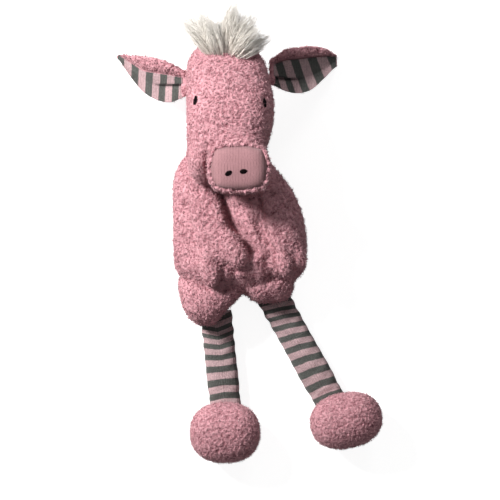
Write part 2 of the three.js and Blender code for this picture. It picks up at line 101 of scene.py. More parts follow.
# A fold is its line in the plane, its half width, its depth and the bank raised beside it.
TORSO_FOLDS = [
    ([(-19, 48), (-9, 20), (2, 2), (11, -11)], 5.0, 9.0, 1.4),
    ([(-6, -30), (-9, -42), (-14, -47)], 3.2, 3.0, 0.6),
    ([(17, 16), (22, -6), (28, -34)], 5.0, 2.4, 0.8),
    ([(45, 14), (49, -8), (53, -30)], 4.0, 4.5, 0.8),
    ([(-2, -38), (6, -52), (8, -60)], 4.0, 2.6, 1.0),
    ([(-50, -40), (-40, -44), (-30, -44)], 5.0, 2.0, 0.8),
    ([(-2, 30), (4, 12), (14, -6)], 4.0, 1.4, 1.0),
    ([(-46, 30), (-44, 8), (-48, -14)], 6.0, 2.2, 0.8),
    ([(8, -36), (20, -42), (30, -54)], 3.6, 1.6, 0.8),
    ([(60, -32), (44, -38), (28, -34)], 4.0, 2.0, 0.8),
    ([(-56, 40), (-58, 5), (-54, -25)], 8.0, 1.6, 0.6),
]
HEAD_FOLDS = [([(-30, 88), (-30, 70), (-29, 50)], 2.0, 1.6, 0.7)]
NECK = {"x": -11, "y": 82, "radius": 21, "throat": (-7, 66, 38), "throat_sizes": (35, 26, 27)}
CHEEK = {"place": (-36, 80, 62), "sizes": (14.5, 30, 26), "tilt": 35}
HEAD = {
    "x": -9.5, "y": 138, "tilt": 28, "start": 48, "end": -102, "half_width": 42, "half_depth": 42,
    "end_power": 3, "ring_power": 2.8,
    "widths": [1.05, 1.036, 0.984, 0.993, 0.965, 0.9, 0.76, 0.8],
    "depths": [1.0, 1.02, 0.99, 0.95, 0.86, 0.76, 0.82, 0.86],
    "sides": [-0.12, -0.08, -0.03, 0.02, -0.01, -0.04, 0.2, 0.22],
}
SNOUT = {
    "x": -0.8, "y": 65.5, "z": 105, "lean": 8, "half_width": 26.4, "half_height": 20.6,
    "square": 0.68, "dome": 1.2, "stand": 0.9, "turned_in": 1.4, "steps": 130, "column": 1.4,
    "around": 0.35, "edging": 1.25, "edging_sides": 10, "pad": (30.3, 24.3, 14), "pad_drop": 11.6,
}
NOSTRIL = {
    "apart": 13.7, "half_width": 3.3, "half_height": 2.25, "rolls": {"left": 28, "right": 8},
    "ups": {"left": -4.1, "right": -2.4}, "aside": -2.6, "threads": 11, "lift": 0.1,
}
EYE = {
    "ys": {"left": 129.0, "right": 126.8}, "z": 46, "half_width": 1.95, "half_height": 4.5,
    "lean": 44.8, "threads": 7, "lift": 1.6, "bald": 0.65,
}
PAIR = (("left", -1), ("right", 1))
# A lock is where it starts and ends across the crown, its length and its lift, all as shares.
HAIR = {
    "x": -15, "y": 173, "z": 50, "root_spread": 7.5, "height": 55, "half_spread": 43, "lift": 20,
    "sunk": 6, "above": 8, "arch": (-3.0, 5.0), "spans": 9,
    "locks": [
        (-0.95, -1.0, 0.66, 0.3), (-0.8, -0.82, 0.74, 0.0), (-0.6, -0.57, 0.8, 0.4),
        (-0.4, -0.36, 0.62, 0.7), (-0.2, -0.06, 0.66, -0.2), (0.0, 0.15, 0.8, 0.2),
        (0.15, 0.27, 0.98, 0.4), (0.35, 0.44, 0.78, 0.0), (0.6, 0.74, 0.74, 0.5),
        (0.8, 0.84, 0.5, 0.8), (0.9, 1.06, 0.33, 0.1), (0.95, 0.86, 0.22, 0.5),
    ],
}
EAR = {
    "root": 3.4, "root_depth": 2, "root_length": 26, "tuck": 3.2, "tuck_end": 0.5, "z": 32,
    "back": 3.6, "lining": 1.4, "roll": 2.2, "cup": 9, "cup_power": 1.15, "across_steps": 10,
    "length_steps": 14, "cups": [0, 0.85, 1.0, 0.85, 0.55, 0.15], "rolls": [0, 1, 0.7],
}
# An ear's upper and lower edge and its crease are shares of its length. Its stripes come every
# period, and below the crease every tucked, from the knot where both runs of stripes meet.
EARS = [
    {
        "side": "left", "toward": -1, "x": -52.6, "y": 147, "length": 64.5, "rolled_steps": 3,
        "slant": 0.05, "period": 13.65, "phase": 0.58, "knot": 33.0, "tucked": 12.6,
        "upper": [0.2, 0.3, 0.37, 0.4, 0.43, 0.455],
        "lower": [-0.2, -0.27, -0.23, -0.11, 0.13, 0.4],
        "crease": [0.0, 0.0, 0.01, 0.06, 0.25, 0.43],
    },
    {
        "side": "right", "toward": 1, "x": 30.6, "y": 158, "length": 61.5, "rolled_steps": 2,
        "slant": 0.33, "period": 16.2, "phase": 0.37, "knot": 26.4, "tucked": 12.4,
        "upper": [0.22, 0.34, 0.38, 0.4, 0.375, 0.29],
        "lower": [-0.2, -0.29, -0.32, -0.26, -0.08, 0.11],
        "crease": [-0.06, -0.08, -0.08, -0.04, 0.06, 0.2],
    },
]
# A toe is its turn in the plane, how far it reaches, its length and its half width.
ARM = {
    "shoulder": 9, "shoulder_half_width": 12.5, "half_depth": 8.5, "toe_depth": 10,
    "end_power": 2.6, "ring_power": 2.6, "gap": 0.8, "widths": [0.86, 0.9, 0.98, 1.0, 0.96, 0.9],
}
ARMS = [
    {
        "side": "left", "x": -38, "y": 52, "z": 45, "length": 80, "half_width": 17, "swing": 17,
        "roll": -12, "lifts": [0, 0.25, 0.7, 1.05, 1.25, 1.3],
        "toes": [(29.5, 89, 44, 12), (8.5, 98, 44, 11)],
    },
    {
        "side": "right", "x": 28, "y": 46, "z": 45, "length": 72, "half_width": 15, "swing": 14,
        "roll": 16, "lifts": [0, 0.3, 0.95, 1.3, 1.3, 0.9],
        "toes": [(9.5, 83, 38, 9), (21.5, 80, 38, 8.5)],
    },
]
LEG = {
    "half_width": 15, "half_depth": 8.7, "power": 2.6, "root": 17, "columns": 64, "column": 1.6,
    "sides": 104, "step": 0.42, "above": 12, "below": 14, "bend": 7,
}
# Wrinkles run round a leg every so many millimetres. They are deepest near the top, and a
# second, finer run lies over the ankle, where the leg is narrower.
WRINKLES = {
    "every": 13.0, "slant": 9, "all": 0.35, "top": (6, 16), "low": (-2, 9), "low_every": 7.0,
    "low_slant": 5, "low_share": 0.35, "narrow": 0.06, "sway": (0.02, 17), "deep": (0.45, 0.6),
}
# Dark stripes have their middles at these distances down a leg. Skew tilts them, and vee bends
# them at the leg's middle.
LEGS = [
    {
        "side": "left", "x": -21.8, "y": -79.5, "swing": 6, "length": 71.4,
        "skew": ([0, 70], [0, 0]), "vee": ([10, 60], [2.6, -1.0]),
        "stripes": [-4, 6, 13, 22, 32, 42.5, 55, 67.5],
        "foot": {"half_width": 34.5, "half_length": 30, "turn": -6, "aside": -3},
    },
    {
        "side": "right", "x": 34.1, "y": -59.4, "swing": 29, "length": 98,
        "skew": ([20, 90], [-0.3, -0.12]), "vee": ([0, 90], [-0.5, -0.8]),
        "stripes": [-2, 7, 14.5, 24.5, 36, 47.5, 60, 73.5, 87.5, 101],
        "foot": {"half_width": 35.5, "half_length": 27.5, "turn": -17, "aside": 4},
    },
]
FOOT = {"ahead": 31, "half_depth": 25, "end_power": 2.25, "ring_power": 2.4}
# A light is its place in metres, its size, its share of the main light's power and its colour.
LIGHTS = {
    "key light": ((-1.1, 0.78, 1.0), 0.36, 1.0, (1, 0.985, 0.97)),
    "top light": ((0.5, 1.5, 0.6), 0.5, 0.1, (0.98, 0.99, 1)),
    "fill light": ((0.2, -1.2, 1.6), 1.4, 0.045, (0.97, 0.98, 1)),
}
# The lights aim at one spot and the camera stands over the other, both in metres.
LIT_SPOT = (0, 0, 0.03)
SEEN_SPOT = (0.0095, -0.0095)
FLOOR_HALF = 3000


# Settings that a user would change

def length(name, description, default):
    """A setting that is a length in metres."""
    return FloatProperty(name=name, description=description, default=default, unit="LENGTH")


def colour(name, description, default):
    """A setting that is a colour."""
    return FloatVectorProperty(
        name=name, description=description, default=default, subtype="COLOR")


class PLUSH_PG_fleece(bpy.types.PropertyGroup):
    pile: length("Pile", "How far the clumps of pile stand out", 0.0022)
    clump: length("Clump", "Width of one clump of pile", 0.0028)
    curl: length("Curl", "Length of one loose curl", 0.0028)
    spacing: length("Curl spacing", "Distance between loose curls", 0.0016)
    # The tip colour carries painted light and the root colour is painted shade between the clumps.
    tip: colour("Tip", "Colour of the pile's tips", (0.64, 0.365, 0.40))
    body: colour("Body", "Colour halfway down the pile", (0.53, 0.265, 0.30))
    root: colour("Root", "Colour between the clumps", (0.25, 0.10, 0.12))


class PLUSH_PG_knit(bpy.types.PropertyGroup):
    dark_share: FloatProperty(
        name="Dark share", description="Share of the period that is dark", default=0.49,
        subtype="FACTOR")
    column: length("Column", "Width of one column of loops", 0.0016)
    row: length("Row", "Height of one row of loops", 0.0013)
    dark: colour("Dark yarn", "Colour of the dark stripes", (0.085, 0.088, 0.082))
    pale: colour("Pale yarn", "Colour of the pale stripes", (0.46, 0.32, 0.333))
    snout: colour("Snout yarn", "Colour of the snout", (0.36, 0.188, 0.203))


class PLUSH_PG_hair(bpy.types.PropertyGroup):
    strands: IntProperty(name="Strands", description="Hairs in one lock", default=150)
    spread: length("Spread", "How far hairs stray from their lock", 0.0056)
    colour: colour("Colour", "Colour of the hair", (0.86, 0.83, 0.78))


class PLUSH_PG_stage(bpy.types.PropertyGroup):
    frame_width: length("Frame", "Width of the ground that the camera sees", 0.475)
    lens: FloatProperty(name="Lens", description="Focal length in millimetres", default=250)
    key: FloatProperty(
        name="Key light", description="Power of the main light", default=51, unit="POWER")
    sky: FloatProperty(name="Sky", description="Strength of the even light", default=0.12)


# Plain geometry in millimetres

def rounded(value, power):
    """A circle's coordinate pushed out towards a fuller curve."""
    return np.sign(value) * np.abs(value) ** (2 / power)


def share_at(shares, along):
    """The smooth curve through shares that are spaced evenly from 0 to 1."""
    values = np.asarray(shares, float)
    place = np.clip(along, 0, 1) * (len(values) - 1)
    first = np.minimum(place.astype(int), len(values) - 2)
    t = place - first
    p0, p1 = values[np.maximum(first - 1, 0)], values[first]
    p2, p3 = values[first + 1], values[np.minimum(first + 2, len(values) - 1)]
    slope0, slope1 = (p2 - p0) / 2, (p3 - p1) / 2
    return (
        (2 * p1 - 2 * p2 + slope0 + slope1) * t**3
        + (-3 * p1 + 3 * p2 - 2 * slope0 - slope1) * t**2 + slope0 * t + p1
    )


def turned(points, axis, degrees):
    """The points turned about one of the frame's axes."""
    return points @ np.array(Matrix.Rotation(math.radians(degrees), 3, axis)).T


def ball_grid(sides, rings):
    """Heights and turns of a ball's points, and its faces."""
    height = np.cos(np.linspace(0, np.pi, rings + 1))
    turn = np.linspace(-np.pi, np.pi, sides, endpoint=False)
    rows, columns = np.meshgrid(height[1:-1], turn, indexing="ij")
    heights = np.concatenate([[1.0], rows.ravel(), [-1.0]])
    turns = np.concatenate([[0.0], columns.ravel(), [0.0]])
    last = len(heights) - 1
    faces = []
    for side in range(sides):
        after = (side + 1) % sides
        faces.append((0, 1 + after, 1 + side))
        faces.append((last, last - sides + side, last - sides + after))
        for ring in range(rings - 2):
            a, b = 1 + ring * sides, 1 + (ring + 1) * sides
            faces.append((a + side, a + after, b + after, b + side))
    return heights, turns, faces


def swelling(form, sides=72, rings=48):
    """A stuffed form along Y whose widths, depths and offsets follow shares along it."""
    heights, turns, faces = ball_grid(sides, rings)
    even = [1, 1]
    along = (1 - rounded(heights, form["end_power"])) / 2
    swell = rounded(np.sqrt(np.maximum(1 - heights**2, 0)), form["end_power"])
    half_width, half_depth = form["half_width"], form["half_depth"]
    width = half_width * share_at(form.get("widths", even), along) * swell
    depth = half_depth * share_at(form.get("depths", even), along) * swell
    bed = 0
    if "bed" in form:
        bed = half_depth + (depth - half_depth) * form["bed"] - REST_FLAT
    aside = half_width * share_at(form.get("sides", [0, 0]), along)
    lift = bed + half_depth * share_at(form.get("lifts", [0, 0]), along)
    points = np.stack([
        aside + width * rounded(np.cos(turns), form["ring_power"]),
        form["start"] + (form["end"] - form["start"]) * along,
        lift + depth * rounded(np.sin(turns), form["ring_power"]),
    ], 1)
    return points, faces


def pillow(half_width, half_length, half_depth, end_power=2, ring_power=2, fine=(72, 48)):
    """A stuffed ball, fuller with higher powers."""
    return swelling({
        "start": half_length, "end": -half_length, "half_width": half_width,
        "half_depth": half_depth, "end_power": end_power, "ring_power": ring_power}, *fine)


def round_end(half_width, half_depth, power):
    """A round end that turns about X."""
    points, faces = pillow(half_depth, half_width, half_depth, power, fine=(40, 24))
    return turned(points, "Z", 90), faces


def joined(parts):
    """Several shells as one set of points and faces."""
    points, faces, count = [], [], 0
    for some, their in parts:
        points.append(some)
        faces += [tuple(count + corner for corner in face) for face in their]
        count += len(some)
    return np.concatenate(points), faces


def two_sided(bottom, top, fine):
    """A closed sheet from two square grids of points that lie over each other."""
    faces, row, count = [], fine + 1, len(bottom)
    for i in range(fine):
        for j in range(fine):
            p = i * row + j
            faces.append((p, p + 1, p + row + 1, p + row))
            faces.append(tuple(count + corner for corner in (p, p + row, p + row + 1, p + 1)))
    ring = (
        [i * row for i in range(fine)] + [fine * row + j for j in range(fine)]
        + [i * row + fine for i in range(fine, 0, -1)] + list(range(fine, 0, -1)))
    for a, b in zip(ring, ring[1:] + ring[:1]):
        faces.append((a, b, count + b, count + a))
    return np.concatenate([bottom, top]), faces


# Objects

def linked(name, mesh):
    """A new object in the scene."""
    thing = bpy.data.objects.new(name, mesh)
    bpy.context.scene.collection.objects.link(thing)
    return thing


def made(name, points, faces):
    """A smooth shaded object from points in millimetres."""
    mesh = bpy.data.meshes.new(name)
    mesh.from_pydata((np.asarray(points, float) * MM).tolist(), [], faces)
    mesh.polygons.foreach_set("use_smooth", np.ones(len(mesh.polygons), bool))
    return linked(name, mesh)


def result_of(thing):
    """The mesh that an object's modifiers make."""
    graph = bpy.context.evaluated_depsgraph_get()
    return bpy.data.meshes.new_from_object(
        thing.evaluated_get(graph), preserve_all_data_layers=True, depsgraph=graph)


def settled(thing):
    """Turns an object's modifiers into its own mesh."""
    mesh, old = result_of(thing), thing.data
    thing.modifiers.clear()
    thing.data = mesh
    bpy.data.meshes.remove(old)
    mesh.name = thing.name
    return thing


def numbers(collection, name, width, kind=np.float32):
    """A mesh collection's values as an array."""
    found = np.zeros(len(collection) * width, kind)
    collection.foreach_get(name, found)
    return found.reshape(-1, width)


def points_of(thing):
    """An object's points in millimetres."""
    return numbers(thing.data.vertices, "co", 3).astype(float) / MM


def normals_of(thing):
    """The direction out of the surface at each point."""
    return numbers(thing.data.vertices, "normal", 3).astype(float)


def set_points(thing, points):
    """Gives an object its points, in millimetres."""
    thing.data.vertices.foreach_set("co", (points * MM).astype(np.float32).ravel())
    thing.data.update()


def relaxed(thing, steps):
    """Rounds off a surface by drawing each point halfway towards its neighbours."""
    edges = numbers(thing.data.edges, "vertices", 2, np.int32)
    points = points_of(thing)
    ends = np.concatenate([edges[:, 0], edges[:, 1]])
    others = np.concatenate([edges[:, 1], edges[:, 0]])
    count = np.bincount(ends, minlength=len(points))[:, None]
    for _ in range(steps):
        mean = np.stack([
            np.bincount(ends, points[others, k], len(points)) for k in range(3)], 1) / count
        points += 0.5 * (mean - points)
    set_points(thing, points)


def shell(name, parts, voxel, steps, inset=SKIN_INSET):
    """One closed skin round several stuffed forms, with an even mesh."""
    thing = made(name, *joined(parts))
    remesh = thing.modifiers.new("even mesh", "REMESH")
    remesh.mode = "VOXEL"
    remesh.voxel_size = voxel * MM
    remesh.use_smooth_shade = True
    relaxed(settled(thing), steps)
    set_points(thing, points_of(thing) - inset * normals_of(thing))
    return thing


def surface(thing):
    """A tree for finding the nearest place on an object, in millimetres."""
    faces = [tuple(face.vertices) for face in thing.data.polygons]
    return BVHTree.FromPolygons([tuple(p) for p in points_of(thing)], faces)


def kept_clear(points, under, gap, share):
    """The points moved out of a surface to a gap over it, each by its share of the way."""
    moved = points.copy()
    for i, point in enumerate(points):
        place, normal, _, _ = under.find_nearest(Vector(point))
        short = gap - (Vector(point) - place).dot(normal)
        if short > 0:
            moved[i] += np.array(normal) * short * share[i]
    return moved


def folded(thing, lines):
    """Presses folds into the side of a surface that looks up."""
    bank_away, bank_half = 2.1, 0.9
    points, normals = points_of(thing), normals_of(thing)
    toward = np.clip(normals[:, 2], 0, 1)
    move = np.zeros(len(points))
    for line, half_width, depth, bank in lines:
        ends = np.array(line, float)
        nearest = np.full(len(points), np.inf)
        for a, b in zip(ends[:-1], ends[1:]):
            run = b - a
            t = np.clip(((points[:, :2] - a) @ run) / (run @ run), 0, 1)[:, None]
            nearest = np.minimum(nearest, np.linalg.norm(points[:, :2] - a - t * run, axis=1))
        away = nearest / half_width
        raised = bank * np.exp(-(((away - bank_away) / bank_half) ** 2))
        move += raised - depth * np.exp(-(away**2))
    set_points(thing, points + normals * (move * toward)[:, None])


def give(thing, name, values):
    """Stores a number for each point of a mesh."""
    attribute = thing.data.attributes.get(name) or thing.data.attributes.new(name, "FLOAT", "POINT")
    attribute.data.foreach_set("value", np.asarray(values, np.float32))


def bare_near(thing, covers, reach):
    """How bare the pile is near what is sewn over it: wholly within the reach, then less."""
    fade = 0.6
    near = np.zeros(len(thing.data.vertices))
    for cover in covers:
        for i, point in enumerate(points_of(thing)):
            place = cover.find_nearest(Vector(point), reach * (1 + fade))[0]
            if place is not None:
                gap = (Vector(point) - place).length
                near[i] = max(near[i], 1 - max(gap - reach, 0) / (fade * reach))
    return near


def on_ground(thing):
    """Flattens what would go below the ground."""
    points = points_of(thing)
    points[:, 2] = np.maximum(points[:, 2], 0)
    set_points(thing, points)
    return thing


# Node trees

class Wiring:
    """A node tree, its sockets, and nodes that are wired as they are added."""

    def __init__(self, name, kind, inputs, outputs):
        self.tree = bpy.data.node_groups.new(name, kind)
        for title, socket, *default in inputs:
            made_socket = self.tree.interface.new_socket(title, in_out="INPUT", socket_type=socket)
            if default:
                made_socket.default_value = default[0]
        for title, socket in outputs:
            self.tree.interface.new_socket(title, in_out="OUTPUT", socket_type=socket)
        self.given = self.tree.nodes.new("NodeGroupInput").outputs
        self.result = self.tree.nodes.new("NodeGroupOutput").inputs

    def add(self, kind, *inputs, **settings):
        return add_node(self.tree, kind, *inputs, **settings)

    def first(self, kind, *inputs, **settings):
        return self.add(kind, *inputs, **settings).outputs[0]

    def math(self, operation, *inputs, clamp=False):
        return self.first("ShaderNodeMath", *inputs, operation=operation, use_clamp=clamp)

    def times(self, value, other, clamp=False):
        return self.math("MULTIPLY", value, other, clamp=clamp)

    def plus(self, value, other):
        return self.math("ADD", value, other)

    def less(self, value, other, clamp=False):
        return self.math("SUBTRACT", value, other, clamp=clamp)

    def line(self, value, gain, offset, clamp=False):
        return self.math("MULTIPLY_ADD", value, gain, offset, clamp=clamp)

    def vector(self, operation, *inputs, scale=None):
        node = self.add("ShaderNodeVectorMath", *inputs, operation=operation)
        if scale is not None:
            plug(self.tree, node.inputs["Scale"], scale)
        return node.outputs[0]

    def stray(self, noise_colour, scale):
        """A noise's colour as a vector to either side of zero."""
        return self.vector(
            "SCALE", self.vector("SUBTRACT", noise_colour, (0.5, 0.5, 0.5)), scale=scale)

    def random(self, low, high, kind="FLOAT_VECTOR", **named):
        """Random values, a vector's or a number's."""
        sockets = ("Min", "Max") if kind == "FLOAT_VECTOR" else (2, 3)
        node = self.add("FunctionNodeRandomValue", {
            sockets[0]: low, sockets[1]: high,
            **{key.title() if key == "seed" else key: value for key, value in named.items()},
        }, data_type=kind)
        return node.outputs[0 if kind == "FLOAT_VECTOR" else 1]

    def kept(self, name):
        """A number that each point of the mesh keeps."""
        return self.first("GeometryNodeInputNamedAttribute", {"Name": name}, data_type="FLOAT")

    def keep(self, geometry, name, value):
        """Stores a number for each point."""
        return self.first("GeometryNodeStoreNamedAttribute", {
            "Geometry": geometry, "Name": name, "Value": value,
        }, data_type="FLOAT", domain="POINT")

    def raised(self, skin, name, value, height):
        """Stores a number, then lifts the surface along its normals by a height."""
        out = self.vector("SCALE", self.first("GeometryNodeInputNormal"), scale=height)
        return self.first("GeometryNodeSetPosition", {
            "Geometry": self.keep(skin, name, value), "Offset": out})

    def end(self, *values):
        for socket, value in zip(self.result, values):
            self.tree.links.new(value, socket)
        return self.tree

    def finished(self, geometry, finish):
        """Ends with real geometry that has its material."""
        whole = self.first("GeometryNodeRealizeInstances", {"Geometry": geometry})
        return self.end(self.first("GeometryNodeSetMaterial", {
            "Geometry": whole, "Material": finish}))


def plug(tree, socket, value):
    """Links a socket, or sets its own value."""
    if isinstance(value, bpy.types.NodeSocket):
        tree.links.new(value, socket)
    elif value is not None:
        socket.default_value = value


def add_node(tree, kind, *inputs, **settings):
    """Adds a node. Inputs come in order, and None leaves one as it is; a dict names them."""
    node = tree.nodes.new(kind)
    named = {}
    if inputs and isinstance(inputs[-1], dict):
        *inputs, named = inputs
    for key, value in settings.items():
        setattr(node, key, value)
    for socket, value in zip(node.inputs, inputs):
        plug(tree, socket, value)
    for key, value in named.items():
        plug(tree, node.inputs[key], value)
    return node


def once(makers={}):
    """Builds each tree a single time."""
    def keep(function):
        def get():
            if function.__name__ not in makers:
                makers[function.__name__] = function()
            return makers[function.__name__]
        return get
    return keep


FLOAT, GEOMETRY, VECTOR = "NodeSocketFloat", "NodeSocketGeometry", "NodeSocketVector"
MATERIAL, COLOUR, INTEGER = "NodeSocketMaterial", "NodeSocketColor", "NodeSocketInt"


@once()
def pile_tree():
    """Raises a skin into clumps of pile, and keeps each point's height for its colour: painted
    shade low in the pile, painted light on its tops.
    """
    w = Wiring("fleece pile", "GeometryNodeTree", [
        ("Skin", GEOMETRY), ("Pile", FLOAT, 0.002), ("Clump", FLOAT, 0.005), ("Seed", FLOAT, 0.0),
        ("Material", MATERIAL),
    ], [("Skin", GEOMETRY)])
    skin, pile, clump, seed, finish = list(w.given)[:5]
    place = w.first("GeometryNodeInputPosition")
    often = w.math("DIVIDE", 1.0, clump)

    def noise(spot, share, detail):
        return w.add("ShaderNodeTexNoise", {
            "Vector": spot, "W": seed, "Scale": w.times(often, share), "Detail": detail,
        }, noise_dimensions="4D").outputs

    strayed = w.vector("ADD", place, w.stray(noise(place, 0.7, 2.0)["Color"], w.times(clump, 1.5)))
    cells = w.add("ShaderNodeTexVoronoi", {
        "Vector": strayed, "W": seed, "Scale": often, "Smoothness": 0.35, "Randomness": 1.0,
    }, voronoi_dimensions="4D", feature="SMOOTH_F1").outputs["Distance"]
    small = w.add("ShaderNodeTexVoronoi", {
        "Vector": strayed, "W": seed, "Scale": w.times(often, 2.3), "Randomness": 1.0,
    }, voronoi_dimensions="4D", feature="F1").outputs["Distance"]
    domes = w.line(cells, -1.15, 1.0)
    knots = w.line(small, -0.75, 0.45)
    swells = w.line(noise(strayed, 0.28, 1.0)[0], 0.4, -0.17)
    height = w.plus(w.plus(w.times(domes, 0.8), w.times(knots, 0.5)), swells)
    left = w.less(1.0, w.kept("bald"), clamp=True)
    height = w.times(w.times(height, 1.0, clamp=True), left)
    # The kept height picks the colour: painted shade at the roots and between the clumps, painted
    # light on the tips; bare pile keeps a middle tone.
    tone = w.line(w.less(1.0, left), 0.5, height)
    return w.finished(w.raised(skin, "pile", tone, w.times(height, pile)), finish)


@once()
def curl_tree():
    """Stands loose curls on a skin, and keeps the curls alone."""
    w = Wiring("loose curls", "GeometryNodeTree", [
        ("Skin", GEOMETRY), ("Curl", "NodeSocketObject"), ("Spacing", FLOAT, 0.0025),
        ("Size", FLOAT, 0.003), ("Seed", INTEGER, 0), ("Material", MATERIAL),
    ], [("Curls", GEOMETRY)])
    skin, curl, spacing, size, seed, finish = list(w.given)[:6]
    spots = w.add("GeometryNodeDistributePointsOnFaces", {
        "Mesh": skin, "Distance Min": spacing, "Density Max": 1e6, "Seed": seed,
        "Density Factor": w.less(1.0, w.kept("bald"), clamp=True),
    }, distribute_method="POISSON")
    lean = w.random((-1.1, -1.1, -math.pi), (1.1, 1.1, math.pi), seed=seed)
    turn = w.first("FunctionNodeRotateRotation", {
        "Rotation": spots.outputs["Rotation"],
        "Rotate By": w.first("FunctionNodeEulerToRotation", lean),
    }, rotation_space="LOCAL")
    grown = w.random((0.6, 0.6, 0.6), (1.15, 1.15, 1.15), seed=w.plus(seed, 1.0))
    shape = w.add("GeometryNodeObjectInfo", {"Object": curl}).outputs["Geometry"]
    return w.finished(w.first("GeometryNodeInstanceOnPoints", {
        "Points": spots.outputs["Points"], "Instance": shape, "Rotation": turn,
        "Scale": w.vector("SCALE", grown, scale=size),
    }), finish)


def loop_shape(w, along, around, column, row):
    """How high a knitted column is across its width, and the wave of the loops along it."""
    side = w.times(w.math("ABSOLUTE", w.less(
        w.math("FRACT", w.math("DIVIDE", around, column)), 0.5)), 2.0)
    turn = w.plus(w.math("DIVIDE", along, row), w.times(side, 0.55))
    return w.less(1.0, w.math("POWER", side, 3.0)), w.math("SINE", w.times(turn, 2 * math.pi))


@once()
def knit_tree():
    """Raises rows of loops on cloth that knows how far along and around each point lies."""
    w = Wiring("knit loops", "GeometryNodeTree", [
        ("Cloth", GEOMETRY), ("Column", FLOAT, 0.0016), ("Row", FLOAT, 0.0013),
        ("Depth", FLOAT, 0.0003), ("Rib", FLOAT, 0.0), ("Material", MATERIAL),
    ], [("Cloth", GEOMETRY)])
    cloth, column, row, depth, rib, finish = list(w.given)[:6]
    along, around, bald = (w.kept(name) for name in ("along", "around", "bald"))
    crown, wave = loop_shape(w, along, around, column, row)
    whole = w.plus(w.times(w.line(wave, 0.3, 0.7), w.less(1.0, rib)), rib)
    height = w.times(w.times(crown, whole), w.less(1.0, bald))
    return w.finished(w.raised(cloth, "loop", height, w.times(height, depth)), finish)


@once()
def hair_tree():
    """Fans each guide out into many tapering hairs."""
    w = Wiring("hair locks", "GeometryNodeTree", [
        ("Guides", GEOMETRY), ("Strands", INTEGER, 60), ("Spread", FLOAT, 0.004),
        ("Thickness", FLOAT, 0.00034), ("Seed", INTEGER, 3), ("Material", MATERIAL),
    ], [("Hair", GEOMETRY)])
    guides, strands, spread, thickness, seed, finish = list(w.given)[:6]
    even = w.first("GeometryNodeResampleCurve", {"Curve": guides, "Count": 12})
    copies = w.add("GeometryNodeDuplicateElements", {
        "Geometry": even, "Amount": strands}, domain="SPLINE")
    spline = w.add("GeometryNodeSplineParameter").outputs["Factor"]
    stray = w.random(
        (-1.0, -1.0, -1.0), (1.0, 1.0, 1.0), ID=w.first("GeometryNodeCurveOfPoint"), seed=seed)
    fullness = w.line(w.math("SINE", w.times(spline, 3.0)), 0.9, 0.3)
    fan = w.vector("SCALE", stray, scale=w.times(spread, fullness))
    wisp = w.add("ShaderNodeTexNoise", {
        "Vector": w.vector("ADD", w.first("GeometryNodeInputPosition"), stray),
        "Scale": 90.0, "Detail": 1.0,
    }).outputs["Color"]
    moved = w.first("GeometryNodeSetPosition", {
        "Geometry": copies.outputs["Geometry"],
        "Offset": w.vector("ADD", fan, w.stray(wisp, w.times(spline, 0.011))),
    })
    reach = w.random(0.78, 1.0, "FLOAT", ID=copies.outputs["Duplicate Index"], seed=seed)
    cut = w.first("GeometryNodeTrimCurve", {"Curve": moved, "End": reach})
    way = w.add("GeometryNodeSplineParameter").outputs["Factor"]
    sized = w.first("GeometryNodeSetCurveRadius", {
        "Curve": cut, "Radius": w.times(thickness, w.less(1.05, w.math("POWER", way, 1.6)))})
    ring = w.first("GeometryNodeCurvePrimitiveCircle", {"Resolution": 3, "Radius": 1.0})
    return w.finished(w.first("GeometryNodeCurveToMesh", {
        "Curve": w.keep(sized, "tip", spline), "Profile Curve": ring, "Fill Caps": True,
        "Scale": w.first("GeometryNodeInputRadius"),
    }), finish)


@once()
def stitch_tree():
    """Lays parallel threads side by side inside an oval, longest in the middle."""
    w = Wiring("satin stitches", "GeometryNodeTree", [
        ("Thread", GEOMETRY), ("Half width", FLOAT, 0.003), ("Half height", FLOAT, 0.005),
        ("Count", INTEGER, 12), ("Material", MATERIAL),
    ], [("Stitches", GEOMETRY)])
    thread, half_width, half_height, count, finish = list(w.given)[:5]
    row = w.first("GeometryNodeMeshLine", {"Count": count}, mode="OFFSET")
    step = w.math("DIVIDE", w.first("GeometryNodeInputIndex"), w.less(count, 1.0))
    across = w.line(step, 1.9, -0.95)
    ragged = w.random(0.88, 1.08, "FLOAT", seed=5)
    chord = w.times(ragged, w.math("SQRT", w.less(1.02, w.times(across, across))))
    spot = w.first("ShaderNodeCombineXYZ", w.times(across, half_width), 0.0, 0.0)
    size = w.first(
        "ShaderNodeCombineXYZ", 1.0, w.times(chord, half_height), w.line(chord, 0.55, 0.45))
    return w.finished(w.first("GeometryNodeInstanceOnPoints", {
        "Points": w.first("GeometryNodeSetPosition", {"Geometry": row, "Position": spot}),
        "Instance": thread, "Scale": size,
    }), finish)


def with_nodes(thing, tree, **values):
    """Puts a node tree on an object and sets its inputs."""
    modifier = thing.modifiers.new(tree.name, "NODES")
    modifier.node_group = tree
    sockets = {
        item.name.replace(" ", "_").lower(): item.identifier
        for item in tree.interface.items_tree if item.in_out == "INPUT"}
    for name, value in values.items():
        modifier[sockets[name]] = value
    return thing


# Shader groups and materials

@once()
def fibre_group():
    """Fine fibres and a slow change of tone, for any of the cloths."""
    w = Wiring("fibre grain", "ShaderNodeTree", [
        ("Place", VECTOR), ("Fibre", FLOAT, 900.0), ("Patch", FLOAT, 45.0), ("Fleck", FLOAT, 0.7),
    ], [("Tone", FLOAT), ("Height", FLOAT)])
    place, fibre, patch, fleck = list(w.given)[:4]
    fine = w.first("ShaderNodeTexNoise", {
        "Vector": place, "Scale": fibre, "Detail": 3.0, "Roughness": 0.65, "Distortion": 0.6})
    slow = w.first("ShaderNodeTexNoise", {"Vector": place, "Scale": patch, "Detail": 2.0})
    flecks = w.times(w.less(fine, 0.5), fleck)
    return w.end(w.plus(flecks, w.line(slow, 0.36, 0.82)), fine)


